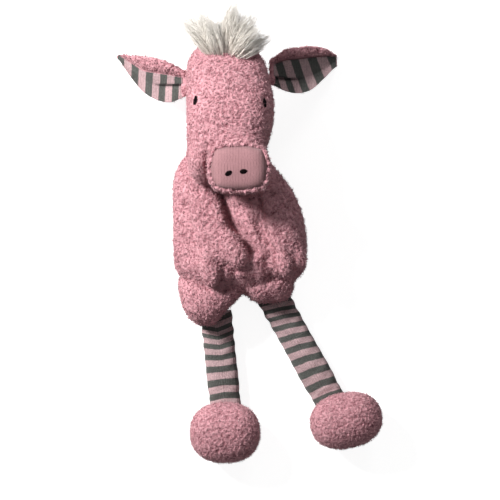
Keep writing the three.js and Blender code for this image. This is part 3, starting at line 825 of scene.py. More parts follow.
@once()
def loops_group():
    """The fine columns and rows of a knit, from how far along and around each point lies."""
    w = Wiring("knit grain", "ShaderNodeTree", [
        ("Along", FLOAT), ("Around", FLOAT), ("Column", FLOAT, 0.0016), ("Row", FLOAT, 0.0013),
    ], [("Height", FLOAT)])
    crown, wave = loop_shape(w, *list(w.given)[:4])
    return w.end(w.times(crown, w.line(wave, 0.35, 0.65)))


@once()
def stripe_group():
    """Two yarns by turns, with a wavering edge between them."""
    w = Wiring("yarn stripes", "ShaderNodeTree", [
        ("Count", FLOAT), ("Place", VECTOR), ("Share", FLOAT, 0.5), ("Fuzz", FLOAT, 0.12),
    ], [("Dark", FLOAT)])
    count, place, share, fuzz = list(w.given)[:4]
    waver = w.first("ShaderNodeTexNoise", {
        "Vector": place, "Scale": 380.0, "Detail": 4.0, "Roughness": 0.75})
    spot = w.plus(count, w.times(w.less(waver, 0.5), fuzz))
    away = w.math("ABSOLUTE", w.less(w.math("FRACT", w.plus(spot, 0.5)), 0.5))
    return w.end(w.line(w.less(w.times(share, 0.5), away), 18.0, 0.5, clamp=True))


def material(name, **shine):
    """A named material with its own shader's constants set."""
    made_material = bpy.data.materials.new(name)
    made_material.use_nodes = True
    tree = made_material.node_tree
    shader = tree.nodes["Principled BSDF"]
    for key, value in shine.items():
        shader.inputs[key.replace("_", " ").title().replace("Ior", "IOR")].default_value = value
    return made_material, tree, shader


def ramp(tree, factor, stops):
    """Colours along a factor."""
    node = add_node(tree, "ShaderNodeValToRGB", factor)
    while len(node.color_ramp.elements) < len(stops):
        node.color_ramp.elements.new(0.5)
    for element, (place, colour) in zip(node.color_ramp.elements, stops):
        element.position = place
        element.color = (*colour, 1)
    return node.outputs[0]


def toned(tree, colours, *tones):
    """A colour lightened and darkened by values round one."""
    for tone in tones:
        colours = add_node(tree, "ShaderNodeVectorMath", colours, {
            "Scale": tone}, operation="SCALE").outputs[0]
    return colours


def mixed(tree, factor, a, b):
    """One colour over another."""
    node = add_node(tree, "ShaderNodeMix", data_type="RGBA")
    for place, value in ((0, factor), (6, a), (7, b)):
        plug(tree, node.inputs[place], value)
    return node.outputs[2]


def group_node(tree, group, **inputs):
    """A shader group placed in a material."""
    node = tree.nodes.new("ShaderNodeGroup")
    node.node_tree = group
    for key, value in inputs.items():
        plug(tree, node.inputs[key.capitalize()], value)
    return node.outputs


def attribute(tree, name):
    """A number that each point of the mesh keeps."""
    return add_node(tree, "ShaderNodeAttribute", attribute_name=name).outputs["Fac"]


def cloth(name, fibre, patch, fleck=0.7, **shine):
    """A material, with the place on the piece and the tone and height of its fibres."""
    made_material, tree, shader = material(name, **shine)
    place = add_node(tree, "ShaderNodeTexCoord").outputs["Object"]
    tone, height = group_node(
        tree, fibre_group(), place=place, fibre=fibre, patch=patch, fleck=fleck)[:2]
    return made_material, tree, shader, place, tone, height


def coloured(tree, shader, colours, height, strength, distance):
    """Gives a shader its colour and fine relief from a height."""
    tree.links.new(colours, shader.inputs["Base Color"])
    bump = add_node(tree, "ShaderNodeBump", {
        "Height": height, "Strength": strength, "Distance": distance})
    tree.links.new(bump.outputs[0], shader.inputs["Normal"])


@once()
def fleece_material():
    """Curly pink pile, with painted light on the tips and painted shade, deep rose, between the
    clumps.
    """
    look = bpy.context.scene.plush_fleece
    made_material, tree, shader, _, tone, height = cloth(
        "pink fleece", 800.0, 38.0, 1.0, roughness=0.95, sheen_weight=0.2, sheen_roughness=0.45,
        sheen_tint=(1.0, 0.8, 0.84, 1), specular_ior_level=0.12)
    # The ramp runs from painted shade at the roots to painted light at the tips.
    pile = ramp(tree, attribute(tree, "pile"), [
        (0.0, look.root), (0.32, look.body), (0.85, look.tip)])
    coloured(tree, shader, toned(tree, pile, tone), height, 0.55, 0.0007)
    return made_material


@once()
def striped_material():
    """Jersey knit in dark grey and pale pink stripes, a little fuzzy."""
    look = bpy.context.scene.plush_knit
    made_material, tree, shader, place, tone, fibre = cloth(
        "striped jersey", 1100.0, 60.0, 2.2, roughness=0.92, sheen_weight=0.2,
        sheen_roughness=0.5, specular_ior_level=0.12)

    def value(operation, *inputs):
        return add_node(tree, "ShaderNodeMath", *inputs, operation=operation).outputs[0]

    dark = group_node(
        tree, stripe_group(), count=attribute(tree, "stripe"), place=place,
        share=look.dark_share)[0]
    loops = group_node(
        tree, loops_group(), along=attribute(tree, "along"), around=attribute(tree, "around"),
        column=look.column, row=look.row)[0]
    # Painted shade between the loops and painted light on their crowns.
    shade = value("MULTIPLY_ADD", loops, 0.5, 0.72)
    # Painted shade along the tuck's crease, darkening the yarn to a quarter at its deepest.
    tuck = value("MULTIPLY_ADD", attribute(tree, "shade"), -0.75, 1.0)
    yarn = mixed(tree, dark, (*look.pale, 1), (*look.dark, 1))
    relief = value("ADD", loops, fibre)
    coloured(tree, shader, toned(tree, yarn, tone, shade, tuck), relief, 0.5, 0.0004)
    return made_material


@once()
def snout_material():
    """Fine rib knit, greyer than the fleece, with painted shade in its valleys and painted light on
    its ribs.
    """
    yarn = bpy.context.scene.plush_knit.snout
    made_material, tree, shader, _, tone, fibre = cloth(
        "snout rib", 1300.0, 70.0, roughness=0.9, sheen_weight=0.3, sheen_roughness=0.5,
        specular_ior_level=0.12)
    # Painted shade in the rib's valleys and painted light on its ridges; bare knit at the rim takes
    # the darkest shade.
    rib_light_and_shade = ramp(tree, attribute(tree, "loop"), [
        (0.0, [0.45 * c for c in yarn]), (0.6, yarn), (1.0, [1.2 * c for c in yarn])])
    coloured(tree, shader, toned(tree, rib_light_and_shade, tone), fibre, 0.5, 0.0005)
    return made_material


@once()
def thread_material():
    """Black embroidery thread with a soft lustre."""
    made_material, tree, shader, _, tone, fibre = cloth(
        "black thread", 2600.0, 300.0, roughness=0.7, specular_ior_level=0.05)
    black = ramp(tree, fibre, [(0.3, (0.003, 0.001, 0.002)), (0.8, (0.009, 0.005, 0.006))])
    coloured(tree, shader, toned(tree, black, tone), fibre, 0.4, 0.0002)
    return made_material


@once()
def hair_material():
    """Pale hair, warmer and darker at the roots."""
    look = bpy.context.scene.plush_hair
    made_material, tree, shader, _, tone, fibre = cloth(
        "pale hair", 1500.0, 110.0, roughness=0.55, sheen_weight=0.3, specular_ior_level=0.3)
    strand = ramp(tree, attribute(tree, "tip"), [
        (0.0, (0.55, 0.46, 0.42)), (0.3, (0.79, 0.74, 0.68)), (0.75, look.colour)])
    coloured(tree, shader, toned(tree, strand, tone), fibre, 0.3, 0.0003)
    return made_material


@once()
def floor_material():
    """Matt pale paper, as bright for the camera as in an overexposed studio picture."""
    made_material, tree, shader = material("pale paper", roughness=0.9, specular_ior_level=0.1)
    seen = add_node(tree, "ShaderNodeLightPath").outputs["Is Camera Ray"]
    glow = add_node(tree, "ShaderNodeMath", seen, 0.88, operation="MULTIPLY").outputs[0]
    tree.links.new(glow, shader.inputs["Emission Strength"])
    shader.inputs["Emission Color"].default_value = (1, 1, 1, 1)
    place = add_node(tree, "ShaderNodeTexCoord").outputs["Object"]
    grain = add_node(tree, "ShaderNodeTexNoise", {"Vector": place, "Scale": 300.0}).outputs[0]
    colour = ramp(tree, grain, [(0.3, (0.5, 0.5, 0.495)), (0.7, (0.54, 0.54, 0.535))])
    tree.links.new(colour, shader.inputs["Base Color"])
    return made_material


# Fleece and knit pieces

@once()
def curl_shape():
    """One curl: a thin hooked strand with painted shade at its base and painted light towards its
    tip. It is one unit long.
    """
    sections, sides, hook, twist = 4, 3, 2.6, 0.5
    points, heights, faces = [], [], []
    for ring in range(sections):
        t = ring / (sections - 1)
        bend = hook * t
        centre = np.array([
            0.36 * (1 - math.cos(bend)), 0.12 * math.sin(3 * t), 0.42 * math.sin(bend) + 0.2 * t])
        thick = 0.13 * (1 - 0.7 * t) + 0.02
        for side in range(sides):
            turn = 2 * math.pi * side / sides + twist * t
            points.append(centre + thick * np.array([
                math.cos(turn) * math.cos(bend), math.sin(turn),
                -math.cos(turn) * math.sin(bend)]))
            # Painted light grows towards the tip, painted shade stays at the base.
            heights.append(0.42 + 0.5 * t)
    for ring in range(sections - 1):
        for side in range(sides):
            a, b = ring * sides + side, ring * sides + (side + 1) % sides
            faces.append((a, b, b + sides, a + sides))
    faces += [(2, 1, 0), tuple(len(points) - sides + side for side in range(sides))]
    thing = made("curl", np.array(points) / MM, faces)
    give(thing, "pile", heights)
    thing.hide_render = True
    return thing


def fleeced(thing, seed, fill, fine=1.0, bald=0.0):
    """Gives a skin its pile, and a second piece of loose curls that stands on it. What lies on
    the ground is pressed flat."""
    look = bpy.context.scene.plush_fleece
    pressed = 0.55 * np.clip(-1.6 * normals_of(thing)[:, 2] - 0.5, 0, 1)
    give(thing, "bald", np.maximum(bald, pressed))
    settled(with_nodes(
        thing, pile_tree(), pile=look.pile * fine, clump=look.clump * fine, seed=float(seed),
        material=fleece_material()))
    on_ground(thing)
    loose = linked(thing.name + "_curls", thing.data.copy())
    settled(with_nodes(
        loose, curl_tree(), curl=curl_shape(), spacing=look.spacing * fine, size=look.curl * fine,
        seed=seed, material=fleece_material()))
    on_ground(loose)
    return thing, loose


def dressed(skin, body, nodes, seed, fill, sewn_on=(), **look):
    """Fleece in the place of some nodes that moves with its body, as does what is sewn on."""
    both = fleeced(skin, seed, fill, **look)
    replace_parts(skin, *nodes)
    for piece in (*both, *sewn_on):
        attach(piece, body)


def looped(thing, finish, column=None, depth=0.00032, rib=0.0):
    """Gives a cloth its knitted loops."""
    look = bpy.context.scene.plush_knit
    settled(with_nodes(
        thing, knit_tree(), column=column or look.column, row=look.row, depth=depth, rib=rib,
        material=finish))


def torso_parts():
    """The bag of the torso, its two thighs and the web between them."""
    parts = [swelling(TORSO)]
    for thigh in THIGHS:
        half = thigh["half_length"]
        points, faces = swelling({
            **thigh, "start": half, "end": -half, "bed": TORSO["bed"], "ring_power": 2.6}, 48, 32)
        parts.append((points + [thigh["x"], thigh["y"], 0], faces))
    return parts


def head_parts():
    """The long ovoid of the head, raised towards the snout, with a cheek and a muzzle."""
    height = HEAD["half_depth"] * HEAD["depths"][2] - REST_FLAT
    half_width, half_height, half_depth = SNOUT["pad"]
    head, cheek = swelling(HEAD), pillow(1, 1, 1)
    pad = pillow(half_width, half_height, half_depth, 3, 3.2)
    return [
        (turned(head[0], "X", -HEAD["tilt"]) + [HEAD["x"], HEAD["y"], height], head[1]),
        (turned(cheek[0] * CHEEK["sizes"], "X", CHEEK["tilt"]) + CHEEK["place"], cheek[1]),
        (pad[0] + [SNOUT["x"], SNOUT["y"], SNOUT["z"] - SNOUT["pad_drop"]], pad[1]),
    ]


def on_limb(points, place, height=0.0):
    """Points made along a limb's own line, put where the limb is."""
    return turned(points, "Z", place["swing"]) + [place["x"], place["y"], height]


class PlushOperator(bpy.types.Operator):
    bl_options = {"REGISTER", "UNDO"}


class PLUSH_OT_stage(PlushOperator):
    """Pale floor, soft light from the upper left and a camera straight above"""
    bl_idname = "plush.stage"
    bl_label = "Stage"

    def execute(self, context):
        look = context.scene.plush_stage
        corners = [(-1, -1), (1, -1), (1, 1), (-1, 1)]
        floor = made(
            "floor", [(FLOOR_HALF * x, FLOOR_HALF * y, 0) for x, y in corners], [(0, 1, 2, 3)])
        floor.data.materials.append(floor_material())
        world = context.scene.world or bpy.data.worlds.new("studio")
        context.scene.world = world
        world.use_nodes = True
        sky = world.node_tree.nodes["Background"]
        sky.inputs["Color"].default_value = (1, 1, 1, 1)
        sky.inputs["Strength"].default_value = look.sky
        for name, (spot, size, share, tint) in LIGHTS.items():
            light = bpy.data.lights.new(name, "AREA")
            light.size = size
            light.energy = share * look.key
            light.color = tint
            lamp = linked(name, light)
            lamp.location = spot
            aim = Vector(LIT_SPOT) - Vector(spot)
            lamp.rotation_euler = aim.to_track_quat("-Z", "Y").to_euler()
        camera = bpy.data.cameras.new("camera")
        camera.lens = look.lens
        camera.clip_end = 100
        eye = linked("camera", camera)
        eye.location = (*SEEN_SPOT, look.frame_width * look.lens / camera.sensor_width)
        context.scene.camera = eye
        context.scene.view_settings.view_transform = "Standard"
        return {"FINISHED"}


class PLUSH_OT_torso(PlushOperator):
    """The torso with its thighs, folded where it slumps"""
    bl_idname = "plush.torso"
    bl_label = "Torso"

    def execute(self, context):
        skin = shell("torso", torso_parts(), voxel=1.0, steps=20)
        folded(skin, TORSO_FOLDS)
        dressed(
            skin, "torso", ("torso_cover", "torso_filling", "pellet_bag"), seed=1, fill=0.55)
        return {"FINISHED"}


class PLUSH_OT_neck(PlushOperator):
    """The stuffed neck between the shoulders and the head"""
    bl_idname = "plush.neck"
    bl_label = "Neck"

    def execute(self, context):
        radius = NECK["radius"]
        points, faces = pillow(radius, radius, radius)
        skin = shell("neck", [
            (points + [NECK["x"], NECK["y"], radius - REST_FLAT], faces),
            (points / radius * NECK["throat_sizes"] + NECK["throat"], faces),
        ], voxel=1.4, steps=8)
        dressed(skin, "neck", ("neck_cover", "neck_filling"), seed=2, fill=0.8)
        return {"FINISHED"}


class PLUSH_OT_head(PlushOperator):
    """The head with its knit snout, embroidered eyes and nostrils"""
    bl_idname = "plush.head"
    bl_label = "Head"

    def execute(self, context):
        skin = shell("head", head_parts(), voxel=1.0, steps=11)
        folded(skin, HEAD_FOLDS)
        under = surface(skin)
        panel = self.snout(under)
        over = surface(panel)
        marks = [self.nostril(over, side, toward) for side, toward in PAIR]
        eyes = [self.eye(under, side, toward) for side, toward in PAIR]
        bald = bare_near(skin, [over], 0.8)
        near_eyes = bare_near(skin, [surface(eye) for eye in eyes], 1.2)
        dressed(
            skin, "head", ("head_cover", "head_filling"), seed=3, fill=0.75,
            sewn_on=(panel, *marks, *eyes), bald=np.maximum(bald, EYE["bald"] * near_eyes))
        for piece in fleeced(self.edging(), seed=4, fill=0.9, fine=1.1):
            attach(piece, "head")
        return {"FINISHED"}

    def border(self, steps):
        """The places of a square grid's outer points, in order."""
        row, last = steps + 1, steps * (steps + 1)
        return [
            *range(0, last, row), *range(last, last + steps), *range(last + steps, steps, -row),
            *range(steps, 0, -1)]

    def edging(self):
        """The roll of pile that hides the snout's seam."""
        sides, count = SNOUT["edging_sides"], len(self.rim)
        ahead = np.roll(self.rim, -1, axis=0) - np.roll(self.rim, 1, axis=0)
        ahead /= np.linalg.norm(ahead, axis=1)[:, None]
        out = self.rim - self.rim.mean(axis=0)
        out -= ahead * np.sum(out * ahead, axis=1)[:, None]
        out /= np.linalg.norm(out, axis=1)[:, None]
        over = np.cross(ahead, out)
        way = np.arange(count)[:, None]
        uneven = 1 + 0.3 * np.sin(0.31 * way) + 0.25 * np.sin(0.83 * way + 1)
        rings, faces = [], []
        for side in range(sides):
            turn = 2 * math.pi * side / sides
            roll = uneven * (math.cos(turn) * out + math.sin(turn) * over)
            rings.append(self.rim + SNOUT["edging"] * (0.5 * out + roll))
        for i in range(count):
            for side in range(sides):
                a, b = i * sides, (i + 1) % count * sides
                after = (side + 1) % sides
                faces.append((a + side, a + after, b + after, b + side))
        points = np.stack(rings, 1).reshape(-1, 3)
        return shell("snout_edging", [(points, faces)], voxel=0.8, steps=1, inset=0)

    def aim(self, under, place, facing, roll, spots):
        """Where rays from an oval that looks along its facing meet the skin."""
        turns = ((facing[1], "Y"), (facing[0], "X"), (roll, "Z"))
        turn = Matrix.Identity(3)
        for degrees, axis in turns:
            turn = turn @ Matrix.Rotation(math.radians(degrees), 3, axis)
        ahead, outside = turn @ Vector((0, 0, 1)), 60
        found = []
        for across, up in spots:
            origin = Vector(place) + turn @ Vector((across, up, outside))
            spot, normal, _, _ = under.ray_cast(origin, -ahead)
            if spot is None:
                spot, normal, _, _ = under.find_nearest(origin - ahead * outside)
            found.append((spot, normal))
        return found, ahead

    def snout(self, under):
        """The domed rib knit panel, turned in at its rim."""
        grid = np.linspace(-1, 1, SNOUT["steps"] + 1)
        a, b = np.meshgrid(grid, grid, indexing="ij")
        u = (a * np.sqrt(1 - SNOUT["square"] * b**2 / 2)).ravel()
        v = (b * np.sqrt(1 - SNOUT["square"] * a**2 / 2)).ravel()
        out = np.maximum(np.abs(a), np.abs(b)).ravel()
        spots = np.stack([u * SNOUT["half_width"], v * SNOUT["half_height"]], 1)
        hits, ahead = self.aim(
            under, (SNOUT["x"], SNOUT["y"], SNOUT["z"]), (SNOUT["lean"], 0), 0, spots)
        dome = SNOUT["dome"] * (1 - out**6) - SNOUT["turned_in"] * out**14 + SNOUT["stand"]
        met, ahead = np.array([np.array(spot) for spot, _ in hits]), np.array(ahead)
        top = met + ahead * dome[:, None]
        thing = made("snout", *two_sided(met - ahead, top, SNOUT["steps"]))
        self.rim = top[self.border(SNOUT["steps"])]
        give(thing, "around", (np.tile(spots[:, 0], 2) + SNOUT["around"]) * MM)
        give(thing, "along", np.tile(spots[:, 1], 2) * MM)
        give(thing, "bald", np.concatenate([np.ones(len(out)), out**8]))
        looped(
            thing, snout_material(), column=SNOUT["column"] * MM, depth=0.0004,
            rib=0.7)
        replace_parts(thing, "snout_panel")
        return thing

    def stitched(self, under, name, form, place, facing, roll):
        """An embroidered oval that lies on a surface."""
        half_width, half_height = form["half_width"], form["half_height"]
        thing = made(name, *pillow(0.34, 1 / MM, 0.34, 4, fine=(8, 8)))
        settled(with_nodes(
            thing, stitch_tree(), half_width=half_width * MM, half_height=half_height * MM,
            count=form["threads"], material=thread_material()))
        flat = points_of(thing)
        hits, _ = self.aim(under, place, facing, roll, flat[:, :2])
        middle = 1 - np.clip(
            (flat[:, 0] / half_width) ** 2 + (flat[:, 1] / half_height) ** 2, 0, 1)
        set_points(thing, np.array([
            np.array(spot) + np.array(normal) * (height + form["lift"] + 0.5 * dome)
            for (spot, normal), height, dome in zip(hits, flat[:, 2], middle)]))
        return thing

    def nostril(self, under, side, toward):
        """A nostril of satin stitches on the snout."""
        x = SNOUT["x"] + NOSTRIL["aside"] + toward * NOSTRIL["apart"] / 2
        thing = self.stitched(
            under, f"nostril_{side}_stitches", NOSTRIL,
            (x, SNOUT["y"] + NOSTRIL["ups"][side], SNOUT["z"]), (SNOUT["lean"], 0),
            NOSTRIL["rolls"][side])
        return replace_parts(thing, f"nostril_{side}")

    def eye(self, under, side, toward):
        """An eye of upright satin stitches, half sunk in the pile."""
        thing = self.stitched(
            under, f"eye_{side}_stitches", EYE, (HEAD["x"], EYE["ys"][side], EYE["z"]),
            (0, toward * EYE["lean"]), 0)
        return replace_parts(thing, f"eye_{side}")


class PLUSH_OT_hair(PlushOperator):
    """The tuft of long locks on the crown"""
    bl_idname = "plush.hair"
    bl_label = "Hair"

    def execute(self, context):
        look = context.scene.plush_hair
        guides = bpy.data.curves.new("guides", "CURVE")
        guides.dimensions = "3D"
        middle = np.array([HAIR["x"], HAIR["y"], HAIR["z"]])
        away, up = HAIR["arch"]
        for root, side, reach, lift in HAIR["locks"]:
            start = middle + [root * HAIR["root_spread"], -HAIR["sunk"], HAIR["above"]]
            end = middle + [
                side * HAIR["half_spread"], reach * HAIR["height"], lift * HAIR["lift"]]
            spline = guides.splines.new("POLY")
            spline.points.add(HAIR["spans"])
            for i, point in enumerate(spline.points):
                t = i / HAIR["spans"]
                arch = np.array([away * side, 0, up]) * math.sin(math.pi * t)
                point.co = (*((start + (end - start) * t + arch) * MM), 1)
        locks = with_nodes(
            linked("hair", guides), hair_tree(), strands=look.strands, spread=look.spread,
            material=hair_material())
        mesh = result_of(locks)
        bpy.data.objects.remove(locks)
        locks = linked("hair", mesh)
        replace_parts(locks, "hair_tuft")
        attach(locks, "head")
        return {"FINISHED"}


class PLUSH_OT_ears(PlushOperator):
    """Fleece ears rolled over their striped linings"""
    bl_idname = "plush.ears"
    bl_label = "Ears"

    def execute(self, context):
        for count, place in enumerate(EARS):
            self.ear(place, 10 + count)
        return {"FINISHED"}

    def sheet(self, place, bottom, top, trim, fine):
        """A sheet of the leaf between two heights, on a fine grid."""
        inner, outer, down, up = trim
        along = np.linspace(inner, EAR["length_steps"] - outer, fine + 1) / EAR["length_steps"]
        across = (
            2 * np.linspace(down, EAR["across_steps"] - up, fine + 1) / EAR["across_steps"] - 1)
        s, c = (grid.ravel() for grid in np.meshgrid(along, across, indexing="ij"))
        crease = share_at(place["crease"], s)
        edge = np.where(c < 0, share_at(place["lower"], s), share_at(place["upper"], s))
        cup = EAR["cup"] * share_at(EAR["cups"], s) * np.abs(c) ** EAR["cup_power"]
        fall = EAR["z"] - EAR["back"] + REST_FLAT
        x = place["x"] + place["toward"] * place["length"] * s
        y = place["y"] + place["length"] * (crease + (edge - crease) * np.abs(c))
        z = EAR["z"] - fall * s + cup - EAR["tuck"] * self.tucked(s) * np.clip(-c / 0.12, 0, 1)
        layers = [np.stack([x, y, z + height], 1) for height in (bottom, top(c))]
        points, faces = two_sided(*layers, fine)
        if place["toward"] < 0:
            faces = [face[::-1] for face in faces]
        return points, faces, np.concatenate([s, s]), np.concatenate([c, c])

    def tucked(self, s):
        """How much the lower half tucks under the upper one, which ends partway along."""
        return np.clip((EAR["tuck_end"] - s) / 0.2, 0, 1)

    def rolled(self, place, c):
        """How far the fleece stands up where it rolls over the lining's edge."""
        start = 1 - 2 * place["rolled_steps"] / EAR["across_steps"]
        share = share_at(EAR["rolls"], (c - start) / (1 - start))
        return (EAR["roll"] + EAR["lining"]) * np.where(c > start, share, 0)

    def striped(self, lining, place, points, s, c):
        """Notes on the lining where its loops, its stripes and the painted shade of the tuck lie.
        """
        run = s * place["length"]
        above = points[:, 1] - (place["y"] + place["length"] * share_at(place["crease"], s))
        knot, period, slanted = place["knot"], place["period"], place["slant"] * above
        lines = (run + slanted) / period
        below = knot / period - (knot - run - slanted) / place["tucked"]
        lines = np.where((c < 0) & (lines < knot / period), below, lines)
        give(lining, "along", (points[:, 1] - place["y"]) * MM)
        give(lining, "around", run * MM)
        give(lining, "stripe", lines + place["phase"])
        # Painted shade where the lower half tucks under the upper one.
        give(lining, "shade", self.tucked(s) * np.exp(-((above + 1.0) / 1.5) ** 2))
        give(lining, "bald", np.zeros(len(points)))

    def ear(self, place, seed):
        """One ear: its fleece back on a short root, and its lining."""
        side = place["side"]
        leaf = self.sheet(place, -EAR["back"], lambda c: self.rolled(place, c), (0, 0, 0, 0), 60)
        points, faces = pillow(
            EAR["root"], EAR["root_length"] / 2, EAR["root_depth"], 4, fine=(24, 20))
        root = (points + [place["x"], place["y"], EAR["z"]], faces)
        back = shell(f"ear_{side}", [leaf[:2], root], voxel=0.9, steps=3, inset=0.7)
        points, faces, s, c = self.sheet(
            place, KNIT_LIFT, lambda c: KNIT_LIFT + EAR["lining"] + 0 * c,
            (0.3, 0.25, 0, place["rolled_steps"]), 110)
        lining = made(f"ear_{side}_knit", points, faces)
        self.striped(lining, place, points, s, c)
        looped(lining, striped_material(), depth=0.0003)
        dressed(
            back, f"ear_{side}", (f"ear_{side}_back",), seed, fill=0.3, sewn_on=(lining,),
            bald=bare_near(back, [surface(lining)], 1.5))
        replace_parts(lining, f"ear_{side}_lining")


class PLUSH_OT_arms(PlushOperator):
    """Two arms that lie on the belly and end in cloven trotters"""
    bl_idname = "plush.arms"
    bl_label = "Arms"

    def execute(self, context):
        belly = shell("belly", torso_parts(), voxel=3.0, steps=4)
        under = surface(belly)
        bpy.data.objects.remove(belly)
        for count, place in enumerate(ARMS):
            self.arm(place, under, 20 + count)
        return {"FINISHED"}

    def put(self, place, points, swing=0.0, lift=0.0):
        """Points made along an arm's own line, turned as the arm is and put at its shoulder."""
        points = turned(points, "Z", swing) + [0, 0, lift]
        points = turned(turned(points, "Y", place["roll"]), "Z", place["swing"])
        return points + [place["x"], place["y"], place["z"]]

    def arm(self, place, under, seed):
        """One arm, with its toes and its round shoulder, kept clear of the belly."""
        side, shoulder = place["side"], ARM["shoulder"]
        sleeve = {**ARM, **place, "start": shoulder, "end": -place["length"]}
        points, faces = swelling(sleeve, 48, 40)
        parts = [(self.put(place, points), faces)]
        tip = place["lifts"][-1] * ARM["half_depth"]
        for swing, reach, length, half_width in place["toes"]:
            points, faces = swelling({
                "start": length - reach, "end": -reach, "half_width": half_width,
                "half_depth": ARM["toe_depth"], "end_power": 2.4, "ring_power": 2.2,
                "widths": [0.8, 1, 1]}, 32, 24)
            parts.append((self.put(place, points, swing - place["swing"], tip), faces))
        points, faces = round_end(ARM["shoulder_half_width"], shoulder, LEG["power"])
        parts.append((on_limb(points, place, place["z"]), faces))
        skin = shell(f"arm_{side}", parts, voxel=0.95, steps=4)
        points = points_of(skin)
        local = turned(points - [place["x"], place["y"], place["z"]], "Z", -place["swing"])
        share = np.clip((-local[:, 1] - shoulder) / shoulder, 0, 1)
        set_points(skin, kept_clear(points, under, ARM["gap"], share))
        dressed(
            skin, f"arm_{side}", (f"arm_{side}_cover", f"arm_{side}_filling"), seed, fill=0.4)


class PLUSH_OT_legs(PlushOperator):
    """Striped knit legs, made in pieces that meet at the hip, the knee and the ankle"""
    bl_idname = "plush.legs"
    bl_label = "Legs"

    def execute(self, context):
        for place in LEGS:
            side, root, ankle = place["side"], LEG["root"], place["length"]
            knee = (root + ankle) / 2
            first, second = (root + knee) / 2, (knee + ankle) / 2
            for name, start, end, bend, bodies, nodes in (
                ("hip", -LEG["above"], first, root, ("hip", "thigh"), ("root",)),
                ("knee", first, second, knee, ("thigh", "shin"),
                 ("upper", "upper_filling", "lower", "lower_filling")),
                ("ankle", second, ankle + LEG["below"], ankle, ("shin", "foot"), ()),
            ):
                tube = self.tube(f"leg_{side}_{name}", place, start, end)
                looped(tube, striped_material())
                on_ground(tube)
                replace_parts(tube, *[f"leg_{side}_{node}" for node in nodes])
                if name == "ankle":
                    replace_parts(tube, f"foot_{side}_collar")
                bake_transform(tube)
        return {"FINISHED"}

    def spot(self, place, reach):
        """A point on the leg's line, in metres."""
        way = math.radians(place["swing"])
        return (
            (place["x"] + reach * math.sin(way)) * MM, (place["y"] - reach * math.cos(way)) * MM,
            (LEG["half_depth"] - REST_FLAT) * MM)

    def wrinkled(self, place, r, t):
        """The half width and the half depth of the tube at each place, with its wrinkles."""
        (top_at, top_reach), (low_at, low_reach) = WRINKLES["top"], WRINKLES["low"]
        top = np.exp(-(((r - top_at) / top_reach) ** 2))
        low = np.exp(-(((r - place["length"] - low_at) / low_reach) ** 2))
        edge = np.abs(np.cos(t))
        wave = np.sin((r + WRINKLES["slant"] * edge) * 2 * np.pi / WRINKLES["every"]) * (
            WRINKLES["all"] + top)
        wave += WRINKLES["low_share"] * low * np.sin(
            (r - WRINKLES["low_slant"] * edge) * 2 * np.pi / WRINKLES["low_every"])
        sway, sway_run = WRINKLES["sway"]
        swell = 1 + sway * np.sin(r / sway_run + place["x"]) - WRINKLES["narrow"] * low
        return [
            half * swell + deep * wave
            for half, deep in zip((LEG["half_width"], LEG["half_depth"]), WRINKLES["deep"])]

    def stripes(self, place, r, x):
        """How many stripes lie above each place of the tube."""
        starts = place["stripes"]
        bent = r + np.interp(r, *place["skew"]) * x + np.interp(r, *place["vee"]) * np.abs(x) / 9
        step = np.diff(starts)
        lines = np.interp(bent, starts, np.arange(len(starts)))
        lines += np.minimum(bent - starts[0], 0) / step[0]
        return lines + np.maximum(bent - starts[-1], 0) / step[-1]

    def tube(self, name, place, start, end):
        """A length of the knit tube, closed at both ends."""
        sides, height = LEG["sides"], LEG["half_depth"]
        rings = max(int(round((end - start) / LEG["step"])), 2)
        reach = np.linspace(start, end, rings + 1)
        turn = np.linspace(0, 2 * np.pi, sides, endpoint=False) - np.pi / 2
        r, t = (grid.ravel() for grid in np.meshgrid(reach, turn, indexing="ij"))
        width, depth = self.wrinkled(place, r, t)
        x = width * rounded(np.cos(t), LEG["power"])
        z = depth * rounded(np.sin(t), LEG["power"])
        points = np.concatenate([
            np.stack([x, -r, z + height - REST_FLAT], 1), [[0, -start, height], [0, -end, height]]])
        faces, last = [], rings * sides
        for k in range(sides):
            after = (k + 1) % sides
            for ring in range(0, last, sides):
                faces.append((ring + k, ring + sides + k, ring + sides + after, ring + after))
            faces.append((len(points) - 2, k, after))
            faces.append((len(points) - 1, last + after, last + k))
        thing = made(name, on_limb(points, place), faces)
        around = (t + np.pi / 2) / (2 * np.pi) * LEG["columns"] * LEG["column"]
        give(thing, "along", np.append(r, [start, end]) * MM)
        give(thing, "around", np.append(around, [0, 0]) * MM)
        give(thing, "stripe", np.append(self.stripes(place, r, x), [0, 0]))
        give(thing, "bald", np.append(np.zeros(len(r)), [1, 1]))
        return thing


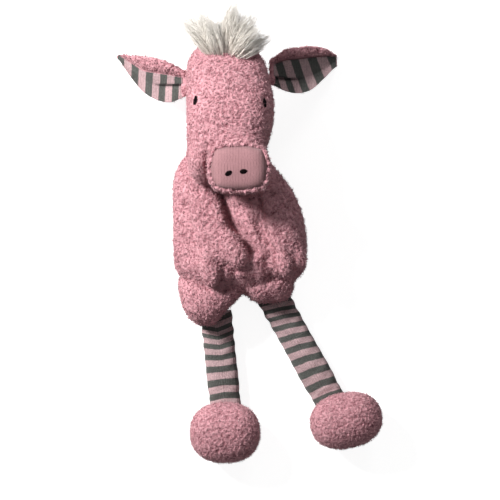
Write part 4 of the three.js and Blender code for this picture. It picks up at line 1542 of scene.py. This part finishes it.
class PLUSH_OT_feet(PlushOperator):
    """Heavy fleece feet filled with pellets"""
    bl_idname = "plush.feet"
    bl_label = "Feet"

    def execute(self, context):
        for count, place in enumerate(LEGS):
            side, foot = place["side"], place["foot"]
            points, faces = swelling({
                **FOOT, **foot, "start": foot["half_length"], "end": -foot["half_length"]})
            points = turned(points, "Z", foot["turn"]) + [
                foot["aside"], -place["length"] - FOOT["ahead"], FOOT["half_depth"] - REST_FLAT]
            skin = shell(f"foot_{side}", [(on_limb(points, place), faces)], voxel=0.95, steps=4)
            dressed(
                skin, f"foot_{side}", (f"foot_{side}_cover", f"foot_{side}_pellets"),
                seed=30 + count, fill=0.85, fine=0.8)
        return {"FINISHED"}


class PLUSH_PT_panel(bpy.types.Panel):
    """Lists the plush pig's pieces and settings"""
    bl_idname = "PLUSH_PT_panel"
    bl_label = "Plush pig"
    bl_space_type = "VIEW_3D"
    bl_region_type = "UI"
    bl_category = "Plush"

    def draw(self, context):
        for settings, group in SETTINGS:
            for name in group.__annotations__:
                self.layout.prop(getattr(context.scene, settings), name)
        for operator in OPERATORS:
            self.layout.operator(operator.bl_idname)


SETTINGS = (
    ("plush_fleece", PLUSH_PG_fleece), ("plush_knit", PLUSH_PG_knit), ("plush_hair", PLUSH_PG_hair),
    ("plush_stage", PLUSH_PG_stage),
)
OPERATORS = (
    PLUSH_OT_stage, PLUSH_OT_torso, PLUSH_OT_neck, PLUSH_OT_head, PLUSH_OT_hair, PLUSH_OT_ears,
    PLUSH_OT_arms, PLUSH_OT_legs, PLUSH_OT_feet,
)


def register():
    """Adds the settings, the operators and the panel."""
    for name, group in SETTINGS:
        bpy.utils.register_class(group)
        setattr(bpy.types.Scene, name, PointerProperty(type=group))
    for operator in OPERATORS:
        bpy.utils.register_class(operator)
    bpy.utils.register_class(PLUSH_PT_panel)


def unregister():
    """Takes them away again."""
    bpy.utils.unregister_class(PLUSH_PT_panel)
    for operator in reversed(OPERATORS):
        bpy.utils.unregister_class(operator)
    for name, group in reversed(SETTINGS):
        delattr(bpy.types.Scene, name)
        bpy.utils.unregister_class(group)


def main():
    """Clears the start-up scene and makes every piece."""
    for thing in list(bpy.context.scene.objects):
        if thing.name in ("Cube", "Light", "Camera"):
            bpy.data.objects.remove(thing)
    register()
    for operator in OPERATORS:
        group, name = operator.bl_idname.split(".")
        getattr(getattr(bpy.ops, group), name)()
    bpy.data.objects.remove(curl_shape())


if __name__ == "__main__":
    main()
